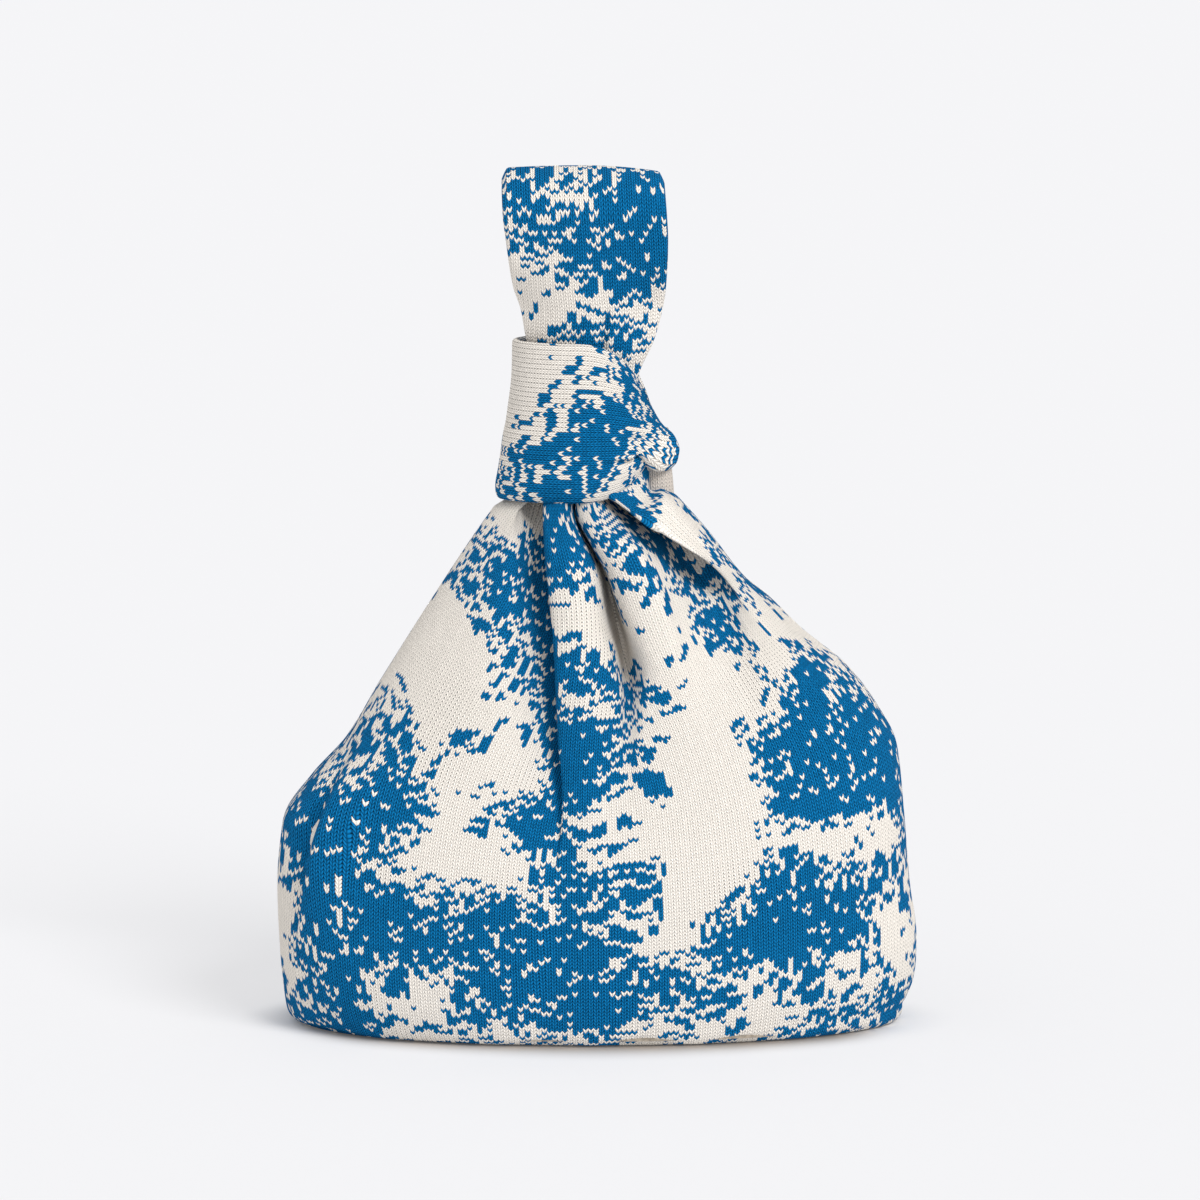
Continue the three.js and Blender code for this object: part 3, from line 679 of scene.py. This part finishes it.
def board_finish(name, look):
    """Fibre board: grey and brown flecks in a mottled ground."""
    finish = Finish(name)
    place = finish.add("TexCoord", {}, "Object")
    fleck = finish.add("TexNoise", {"Vector": place, "Scale": 420.0, "Detail": 4.0})
    paint = finish.blend(fleck.within(*FLECK_TONES), shaded(look.board, 1), shaded(look.board, BOARD_SHADE))
    bump = finish.add("Bump", {"Strength": 0.3, "Distance": 0.0003, "Height": fleck})
    return finish.done(base_color=paint, normal=bump, roughness=0.9)


# Between the body and the band, in millimetres
BAND_GAP = 2.0
_band_low, _band_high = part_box("short_handle_front_band")
_panel_low, _panel_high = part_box("outer_front_panel")
_strap_low, _strap_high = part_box("long_handle_front_strap")


def length_setting(name, description, default):
    """A setting that is a length."""
    return FloatProperty(name=name, description=description, default=default, unit="LENGTH", precision=5)


def colour_setting(name, description, default):
    """A setting that is a colour."""
    return FloatVectorProperty(
        name=name, description=description, default=default, subtype="COLOR", size=3, min=0, max=1
    )


class KnotBagSizes(bpy.types.PropertyGroup):
    """Sizes of the bag"""

    half_width: length_setting(
        "Half width", "Half the body's greatest width", (_panel_high.x - _panel_low.x) / 2
    )
    half_depth: length_setting("Half depth", "Half the body's greatest depth", -_panel_low.y)
    body_height: length_setting("Body height", "Ground to the knot's lower edge", _band_low.z - BAND_GAP * MM)
    neck_x: length_setting("Neck place", "Middle of the gathered neck", -0.006)
    band_half_width: length_setting("Band half width", "Half the width of the knot's band", 0.034)
    band_height: length_setting(
        "Band height", "Width of the short handle where it wraps the neck", _band_high.z - _band_low.z
    )
    strap: length_setting("Strap thickness", "Doubled knit of the handles", 0.0044)
    crown: length_setting("Crown height", "Ground to the top of the loop", _strap_high.z)
    loop_half_depth: length_setting("Loop half depth", "Half the loop's depth at its crown", -_strap_low.y)


class KnotBagLook(bpy.types.PropertyGroup):
    """Colours and stitch sizes"""

    blue: colour_setting("Blue yarn", "Colour of the pattern", (0.0026, 0.121, 0.3))
    cream: colour_setting("Cream yarn", "Colour of the ground", (0.87, 0.815, 0.745))
    # The reverse colour: partly the purl side's warmer tone, partly painted shade for the root under the ear
    reverse: colour_setting("Reverse", "Colour of the knit's plain reverse", (0.68, 0.61, 0.545))
    lining: colour_setting("Lining", "Colour of the woven lining", (0.76, 0.71, 0.64))
    board: colour_setting("Board", "Colour of the base board", (0.34, 0.29, 0.23))
    wale: length_setting("Stitch width", "Pitch of the stitch columns", 0.00203)
    course: length_setting("Stitch height", "Pitch of the stitch rows", 0.0016)
    vee: FloatProperty(
        name="Stitch slope", description="Rise of a stitch's arms, in stitch heights", default=0.75,
    )
    thread: length_setting("Thread pitch", "Pitch of the lining's threads", 0.0009)


def chosen(context):
    """The bag's sizes and its look."""
    return context.scene.knot_bag_sizes, context.scene.knot_bag_look


class KNOTBAG_OT_body(bpy.types.Operator):
    """Builds the pleated front and back panels"""

    bl_idname = "knotbag.body"
    bl_label = "Body Panels"

    def execute(self, context):
        sizes, look = chosen(context)
        for name, lines, side in (("front_panel", FRONT_LINES, -1), ("back_panel", BACK_LINES, 1)):
            points, stitches = panel_grid(lines, side, sizes)
            piece = grid_mesh(name, points, knit_coordinates(points, stitches), shared_knit(look))
            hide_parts("outer_" + name)
            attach(piece, "bag")
        return {"FINISHED"}


def flat_plate(name, height, inset, finish, sizes):
    """A flat sheet: the section's outline at its height, filled with rings that shrink to its middle."""
    section = body_section(np.array([height]), inset, sizes)
    x, y = skin(section, np.linspace(-1, 1, PLATE_COLUMNS)[None])
    outline = np.concatenate([joined(x[0], y[0]), joined(x[0], -y[0])[-2::-1]])
    flat = outline[None] * np.linspace(1, 0, PLATE_RINGS)[:, None, None]
    points = joined(flat[..., 0], flat[..., 1], GROUND + height)
    return grid_mesh(name, points, flat, finish)


class KNOTBAG_OT_base(bpy.types.Operator):
    """Builds the knit base and finishes the board on it"""

    bl_idname = "knotbag.base"
    bl_label = "Base"

    def execute(self, context):
        sizes, look = chosen(context)
        # the base's reverse knit colour is partly painted shade
        base = flat_plate("base_panel", 0.0, 0.0, shared_knit(look, False), sizes)
        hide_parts("outer_base_panel")
        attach(base, "bag")
        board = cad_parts["base_board"]
        finish = board_finish("fibre_board", look)
        for place in board.material_slots:
            place.link = "OBJECT"
            place.material = finish
        return {"FINISHED"}


class KNOTBAG_OT_lining(bpy.types.Operator):
    """Builds the lining's front, back and base"""

    bl_idname = "knotbag.lining"
    bl_label = "Lining"

    def execute(self, context):
        sizes, look = chosen(context)
        finish = woven_finish("plain_weave", look)
        low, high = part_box("lining_front_panel")
        height = np.linspace(low.z / MM, high.z / MM, LINING_ROWS)
        slack = LINING_ROOM + LINING_SLACK * smooth(height, *SLACK_HEIGHTS)
        section = body_section(height, slack, sizes)
        x, y = skin(section, np.linspace(-1, 1, LINING_COLUMNS)[None])
        for name, side in (("lining_front", 1), ("lining_back", -1)):
            points = joined(x, side * y, height[:, None])[:, ::side]
            piece = grid_mesh(name, points, points[..., [0, 2]], finish)
            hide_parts(name + "_panel")
            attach(piece, "bag")
        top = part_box("lining_base_panel")[1].z / MM
        base = flat_plate("lining_base", top, LINING_BASE_ROOM, finish, sizes)
        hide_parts("lining_base_panel")
        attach(base, "bag")
        return {"FINISHED"}


def stadium(count, half, radius):
    """A flat strap's section: two straight faces and two half-round edges, from the middle of the inner face.

    Gives evenly spaced points: the place across, the place through the thickness and the length round. The
    first point is repeated at the end.
    """
    straight = 2 * (half - radius)
    bend = math.pi * radius
    total = 2 * (straight + bend)
    length = np.linspace(0, total, count + 1)
    s = (length + straight / 2 + straight + bend) % total
    s = np.where(np.isclose(s, total), 0, s)
    turn = np.clip(s - straight, 0, bend) / radius
    turn_back = np.clip(s - 2 * straight - bend, 0, bend) / radius
    parts = [s < straight, s < straight + bend, s < 2 * straight + bend]
    flat = half - radius
    faces = [s - flat, flat + radius * np.sin(turn), flat - (s - straight - bend)]
    across = np.select(parts, faces, -flat - radius * np.sin(turn_back))
    depth = np.select(parts, [radius, radius * np.cos(turn), -radius], -radius * np.cos(turn_back))
    return across, depth, length - total / 2


# Lines round the knot's band, from its lower edge (share 0) to its upper (1): reach from the neck's middle
# and, at the gathered right end, reach and height. There the band is folded in at a tuck, and the cloth above
# it hangs over as a hood.
BAND_LINES = (
    # share, left, front, right, gathered front, gathered right, gathered height
    (0.0, 36.2, 21.0, 33.0, 17.0, 25.0, 246.0),
    (0.04, 37.2, 23.2, 34.0, 19.0, 27.5, 245.0),
    (0.09, 37.4, 24.4, 34.5, 20.5, 29.0, 246.5),
    (0.18, 36.4, 25.0, 35.0, 20.5, 29.5, 249.5),
    (0.25, 35.6, 25.2, 35.0, 17.0, 26.0, 252.0),
    (0.29, 35.2, 25.2, 35.0, 3.0, 10.0, 254.0),
    (0.33, 34.8, 25.2, 35.0, 18.0, 34.5, 241.0),
    (0.36, 34.6, 25.2, 35.0, 20.5, 39.4, 242.5),
    (0.4, 34.2, 25.0, 35.0, 21.5, 41.4, 247.5),
    (0.48, 33.0, 24.8, 34.8, 21.5, 39.8, 254.5),
    (0.58, 32.0, 24.5, 34.2, 21.0, 34.8, 259.5),
    (0.74, 30.6, 24.0, 33.0, 20.5, 30.6, 266.0),
    (1.0, 30.0, 22.6, 31.6, 20.0, 28.0, 272.0),
)
# Shares between which the tuck lies, and how gathered the band is where the fold starts and is full
TUCK = (0.27, 0.45)
FOLD_PULL = (0.34, 0.8)
# The band's thickness as a share of a strap's, its points round the section and the neck, and a small step
BAND_WALL = 0.7
BAND_POINTS, BAND_TURNS = 220, 240
BAND_STEP = 0.004


def band_skin(angle, share, sizes):
    """The outer face of the band: cubics through its lines, each an oval that is gathered at its right end.

    The gathering grows with the place across the neck; the tuck and the hood only start near the right end.
    """
    neck_x = sizes.neck_x / MM
    cos, sin = np.cos(angle)[:, None], np.sin(angle)[:, None]
    pull = gathered(neck_x + cos * sizes.band_half_width / MM, sizes)
    fold = smooth(pull, *FOLD_PULL)
    places, left, front, right, fold_front, fold_right, fold_height = np.array(BAND_LINES).T
    tucked = (places > TUCK[0]) & (places < TUCK[1])
    weight = np.where(tucked[None], fold, pull)
    low = sizes.body_height / MM + BAND_GAP
    height = mix(low + places[None] * sizes.band_height / MM, fold_height[None], weight)
    side = np.where(cos < 0, left[None], mix(right[None], fold_right[None], weight))
    face = mix(front[None], fold_front[None], weight)
    lines = (neck_x + cos * side, sin * face, height)
    return joined(*[across_lines(places, line, share) for line in lines])


class KNOTBAG_OT_band(bpy.types.Operator):
    """Builds the short handle's band round the neck"""

    bl_idname = "knotbag.band"
    bl_label = "Knot Band"

    def execute(self, context):
        sizes, look = chosen(context)
        half = sizes.band_height / MM / 2
        radius = sizes.strap / MM / 2 * BAND_WALL
        across, depth, length = stadium(BAND_POINTS, half, radius)
        share = (across + half) / (2 * half)
        angle = np.linspace(0, 2 * math.pi, BAND_TURNS + 1) + math.pi / 2
        steps = (BAND_STEP, -BAND_STEP)
        ahead, behind = [band_skin(angle + step, share, sizes) for step in steps]
        above, below = [band_skin(angle, np.clip(share + step, 0, 1), sizes) for step in steps]
        outwards = unit(np.cross(ahead - behind, above - below))
        points = band_skin(angle, share, sizes) + outwards * (depth - radius)[None, :, None]
        points[:, -1] = points[:, 0]
        points[-1] = points[0]
        run = np.linalg.norm(np.diff(points[:, BAND_POINTS // 2], axis=0), axis=-1)
        run = np.concatenate([[0], np.cumsum(run)])
        cloth = joined(length[None], run[:, None])
        piece = grid_mesh("short_handle_band", points, cloth, shared_knit(look))
        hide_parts("short_handle_front_band", "short_handle_back_band")
        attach(piece, "knot")
        return {"FINISHED"}


# The root's roll, from its lower to its upper end: height, radius and middle. Then its turn in degrees, how
# much tighter its inner end is and where that ends, its cloth and its wall
ROOT_ROWS, ROOT_COLUMNS = 70, 120
ROOT_HEIGHT, ROOT_RADIUS = (222, 258), (9.0, 7.4)
ROOT_X, ROOT_Y = (25.0, 23.5), (5.0, 4.0)
ROOT_TURN = (-250, 140)
ROOT_INNER, ROOT_INNER_END = 0.68, 0.35
ROOT_CLOTH = (56, 36)
ROOT_WALL = 0.0022


class KNOTBAG_OT_root(bpy.types.Operator):
    """Builds the rolled end of the short handle at the right shoulder"""

    bl_idname = "knotbag.root"
    bl_label = "Handle Root"

    def execute(self, context):
        _, look = chosen(context)
        along = np.linspace(0, 1, ROOT_ROWS)[:, None]
        around = np.linspace(0, 1, ROOT_COLUMNS)[None]
        angle = np.radians(mix(*ROOT_TURN, around))
        radius = mix(*ROOT_RADIUS, along) * mix(ROOT_INNER, 1, smooth(around, 0, ROOT_INNER_END))
        x = mix(*ROOT_X, along) + radius * np.cos(angle)
        y = mix(*ROOT_Y, along) + radius * np.sin(angle)
        points = joined(x, y, mix(*ROOT_HEIGHT, along))
        cloth = joined(ROOT_CLOTH[0] * around, ROOT_CLOTH[1] * along)
        # the reverse knit's darker colour stands in for the shade under the ear: painted shade
        piece = grid_mesh("handle_root", points, cloth, shared_knit(look, False))
        wall = piece.modifiers.new("Cloth", "SOLIDIFY")
        wall.thickness = ROOT_WALL
        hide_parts("short_handle_root")
        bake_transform(piece)
        return {"FINISHED"}


# The loop by height: its left and right edges, its front crease and how far it stands out from the middle
LOOP_LEFT = (
    (240, -20), (272, -24), (286, -27.4), (297, -30.2), (309, -32.3), (319, -35.4), (341, -38.4),
    (352, -39.6), (375, -40.6),
)
LOOP_RIGHT = (
    (240, -8), (262, -5), (268, 4), (274, 15.5), (284, 19.3), (297, 25), (319, 29.6), (341, 30.4),
    (352, 30), (375, 28.6),
)
LOOP_CREASE = ((270, 1), (297, 2.4), (308, 4.1), (318, 7))
LOOP_FACE = ((240, 7), (274, 10.5), (297, 12.8), (312, 13.8), (322, 14.8), (335, 16.6), (352, 18.6))
# Height where its legs start, room over its crown, half width of its section, rows of a leg and of the crown,
# and points round the section
LOOP_START = 246
CROWN_ROOM = 1.6
LOOP_HALF_WIDTH = 34.5
LEG_ROWS, CROWN_ROWS, LOOP_POINTS = 110, 80, 150
# Its belly, crease and drawn-in edges, each with the heights between which it starts or ends
BELLY, BELLY_START, BELLY_END = 2.4, (262, 350), (345, 368)
CREASE_WIDTH, CREASE_DEPTH, CREASE_END = 2.0, 2.6, (303, 313)
EDGE_DRAW, DRAW_END = 10.5, (308, 334)
# How far the crown falls to its left and right edges, more at the very edge, and between which heights
ARCH_LEFT, ARCH_RIGHT, ARCH_HEIGHTS = 1.1, 3.0, (335, 372)
EDGE_FALL, EDGE_START = 3.0, 0.92


def closed_ends(points, cloth, count):
    """A strap's grid with a row added at each end, where its two faces meet halfway."""
    partner = (count // 2 - np.arange(count + 1)) % count
    ends = points[[0, -1]]
    caps = (ends + ends[:, partner]) / 2
    return np.concatenate([caps[:1], points, caps[1:]]), np.concatenate([cloth[:1], cloth, cloth[-1:]])


class KNOTBAG_OT_loop(bpy.types.Operator):
    """Builds the long handle from the neck over the crown and back"""

    bl_idname = "knotbag.loop"
    bl_label = "Long Handle"

    def execute(self, context):
        sizes, look = chosen(context)
        radius = sizes.strap / MM / 2
        bend = sizes.loop_half_depth / MM - radius
        centre = sizes.crown / MM - radius - bend - CROWN_ROOM
        leg_z = np.linspace(LOOP_START, centre, LEG_ROWS)
        leg_y = -through(LOOP_FACE, leg_z)
        angle = np.linspace(0, math.pi, CROWN_ROWS)[1:-1]
        y = np.concatenate([leg_y, -bend * np.cos(angle), -leg_y[::-1]])
        z = np.concatenate([leg_z, centre + bend * np.sin(angle), leg_z[::-1]])
        run = np.concatenate([[0], np.cumsum(np.hypot(np.diff(y), np.diff(z)))])
        rise_y, rise_z = np.gradient(y, run), np.gradient(z, run)
        turned = np.hypot(rise_y, rise_z)
        out_y, out_z = (-rise_z / turned)[:, None], (rise_y / turned)[:, None]
        across, depth, length = stadium(LOOP_POINTS, LOOP_HALF_WIDTH, radius)
        left, right = through(LOOP_LEFT, z)[:, None], through(LOOP_RIGHT, z)[:, None]
        half = (right - left) / 2
        share = across[None] / LOOP_HALF_WIDTH
        x = (left + right) / 2 + half * share
        swelled = smooth(z, *BELLY_START) * (1 - smooth(z, *BELLY_END))
        belly = BELLY * (1 - share**2) * swelled[:, None]
        creased = (1 - smooth(z, *CREASE_END)) * (y < 0)
        crease = np.exp(-(((x - through(LOOP_CREASE, z)[:, None]) / CREASE_WIDTH) ** 2)) * creased[:, None]
        turned_in = EDGE_DRAW * share**2 * (1 - smooth(z, *DRAW_END))[:, None]
        out = depth[None] + belly - CREASE_DEPTH * crease - turned_in
        arch = np.where(share < 0, ARCH_LEFT, ARCH_RIGHT) * share**2
        arch = arch + EDGE_FALL * smooth(np.abs(share), EDGE_START, 1)
        drop = arch * smooth(z, *ARCH_HEIGHTS)[:, None]
        points = joined(x, y[:, None] + out_y * out, z[:, None] + out_z * out - drop)
        points[:, -1] = points[:, 0]
        cloth = joined(length[None] * half / LOOP_HALF_WIDTH, run[:, None])
        points, cloth = closed_ends(points, cloth, LOOP_POINTS)
        piece = grid_mesh("long_handle", points, cloth, shared_knit(look))
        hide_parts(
            "long_handle_front_arm", "long_handle_back_arm",
            "long_handle_front_strap", "long_handle_back_strap",
        )
        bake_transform(piece)
        return {"FINISHED"}


# The floor's colour as seen and for the light that it throws back, and the glow that fades its shadows: the
# distances from the base over which the fading grows, and its least and greatest share
FLOOR_SIZE = 14.0
FLOOR_COLOUR = (0.735, 0.735, 0.748, 1)
FLOOR_BOUNCE = (0.88, 0.88, 0.89, 1)
FLOOR_GLOW = (0.912, 0.912, 0.93, 1)
SHADOW_REACH, SHADOW_FADE = (0.0, 0.03), (0.06, 0.6)
# The base's outline: half width, half depth and exponent. The painted contact shadow close to it: colour,
# reach, and where it ends at the left and right
BASE_WIDTH, BASE_DEPTH, BASE_POWER = 0.128, 0.0535, 2.1
CONTACT_SHADOW_COLOUR = (0.25, 0.205, 0.165, 1)
CONTACT_SHADOW_REACH = (-0.004, 0.031)
CONTACT_SHADOW_ENDS = (0.1, 0.136)
WORLD_LIGHT = 0.68
# Lamps: name, energy, then width, tilt and turn in degrees
LAMPS = (("key", 2.5, 26, 50, 38), ("fill", 0.6, 120, 85, -75))
# The camera: sensor and lens in millimetres, rise in degrees, distance, and the point that it looks at
SENSOR, LENS = 36.0, 174.4
CAMERA_RISE, CAMERA_DISTANCE = 8.8, 2.5
AIM_X, AIM_HEIGHT = 0.0015, 0.184


def floor_finish(name):
    """A matt floor whose shadows fade for camera, glossy and transmission rays by a share of an even glow.

    The share grows outwards from the base's outline, an oval, and close to it a painted contact shadow
    darkens the floor's colour, standing in for the shade where the overhanging cloth shuts the light out.
    """
    finish = Finish(name)
    glow = finish.add("Emission", {"Color": FLOOR_GLOW, "Strength": 1.0})
    seen, glossy, through_glass = [
        finish.add("LightPath", {}, kind)
        for kind in ("Is Camera Ray", "Is Glossy Ray", "Is Transmission Ray")
    ]
    x, y, _ = finish.parts(finish.add("TexCoord", {}, "Object"))
    oval = (abs(x / BASE_WIDTH) ** BASE_POWER + abs(y / BASE_DEPTH) ** BASE_POWER) ** (1 / BASE_POWER)
    away = (x * x + y * y) ** 0.5 * (1 - 1 / oval)
    fade = away.within(*SHADOW_REACH) * (SHADOW_FADE[1] - SHADOW_FADE[0]) + SHADOW_FADE[0]
    looked_at = seen.math("MAXIMUM", glossy).math("MAXIMUM", through_glass)
    share = looked_at * fade
    # share of the painted contact shadow: near the base, and not past its ends
    painted_contact_shadow = (1 - away.within(*CONTACT_SHADOW_REACH)) * (1 - abs(x).within(*CONTACT_SHADOW_ENDS)) * looked_at
    # close is the painted contact shadow's colour on the floor
    bounce, plain, close = [
        finish.add("BsdfDiffuse", {"Color": paint})
        for paint in (FLOOR_BOUNCE, FLOOR_COLOUR, CONTACT_SHADOW_COLOUR)
    ]
    matt = finish.add("MixShader", {0: looked_at, 1: bounce, 2: plain})
    matt = finish.add("MixShader", {0: painted_contact_shadow, 1: matt, 2: close})
    both = finish.add("MixShader", {0: share, 1: matt, 2: glow})
    finish.feed(finish.tree.nodes["Material Output"].inputs["Surface"], both)
    return finish.material


class KNOTBAG_OT_stage(bpy.types.Operator):
    """Sets the pale floor, the studio light and the camera"""

    bl_idname = "knotbag.stage"
    bl_label = "Stage"

    def execute(self, context):
        scene = context.scene
        scene.view_settings.view_transform = "Standard"
        corners = FLOOR_SIZE * np.array([[-1, -1, 0], [1, -1, 0], [1, 1, 0], [-1, 1, 0]])
        mesh = bpy.data.meshes.new("floor")
        mesh.from_pydata(corners, [], [[0, 1, 2, 3]])
        floor = bpy.data.objects.new("floor", mesh)
        scene.collection.objects.link(floor)
        mesh.materials.append(floor_finish("pale_floor"))
        scene.world = bpy.data.worlds.new("studio")
        scene.world.use_nodes = True
        background = scene.world.node_tree.nodes["Background"].inputs
        background["Color"].default_value = (1, 1, 1, 1)
        background["Strength"].default_value = WORLD_LIGHT
        for name, energy, width, tilt, turn in LAMPS:
            light = bpy.data.lights.new(name, "SUN")
            light.energy = energy
            light.angle = math.radians(width)
            lamp = bpy.data.objects.new(name, light)
            lamp.rotation_euler = (math.radians(tilt), 0, math.radians(turn))
            scene.collection.objects.link(lamp)
        lens = bpy.data.cameras.new("camera")
        lens.sensor_width = SENSOR
        lens.lens = LENS
        camera = bpy.data.objects.new("camera", lens)
        rise = math.radians(CAMERA_RISE)
        back, up = CAMERA_DISTANCE * math.cos(rise), CAMERA_DISTANCE * math.sin(rise)
        camera.location = (AIM_X, -back, AIM_HEIGHT + up)
        camera.rotation_euler = (math.pi / 2 - rise, 0, 0)
        scene.collection.objects.link(camera)
        scene.camera = camera
        return {"FINISHED"}


class KNOTBAG_PT_panel(bpy.types.Panel):
    """Lists the bag's operators and settings"""

    bl_idname = "KNOTBAG_PT_panel"
    bl_label = "Knot Bag"
    bl_space_type = "VIEW_3D"
    bl_region_type = "UI"
    bl_category = "Knot Bag"

    def draw(self, context):
        for group in chosen(context):
            for key in group.__annotations__:
                self.layout.prop(group, key)
        for operator in OPERATORS:
            self.layout.operator(operator.bl_idname)


OPERATORS = (
    KNOTBAG_OT_stage, KNOTBAG_OT_body, KNOTBAG_OT_base, KNOTBAG_OT_lining,
    KNOTBAG_OT_band, KNOTBAG_OT_root, KNOTBAG_OT_loop,
)
CLASSES = (KnotBagSizes, KnotBagLook, *OPERATORS, KNOTBAG_PT_panel)


def register():
    for each in CLASSES:
        bpy.utils.register_class(each)
    bpy.types.Scene.knot_bag_sizes = PointerProperty(type=KnotBagSizes)
    bpy.types.Scene.knot_bag_look = PointerProperty(type=KnotBagLook)


def unregister():
    del bpy.types.Scene.knot_bag_look
    del bpy.types.Scene.knot_bag_sizes
    for each in reversed(CLASSES):
        bpy.utils.unregister_class(each)


def main():
    register()
    bpy.ops.knotbag.stage()
    bpy.ops.knotbag.body()
    bpy.ops.knotbag.base()
    bpy.ops.knotbag.lining()
    bpy.ops.knotbag.band()
    bpy.ops.knotbag.root()
    bpy.ops.knotbag.loop()


if __name__ == "__main__":
    main()
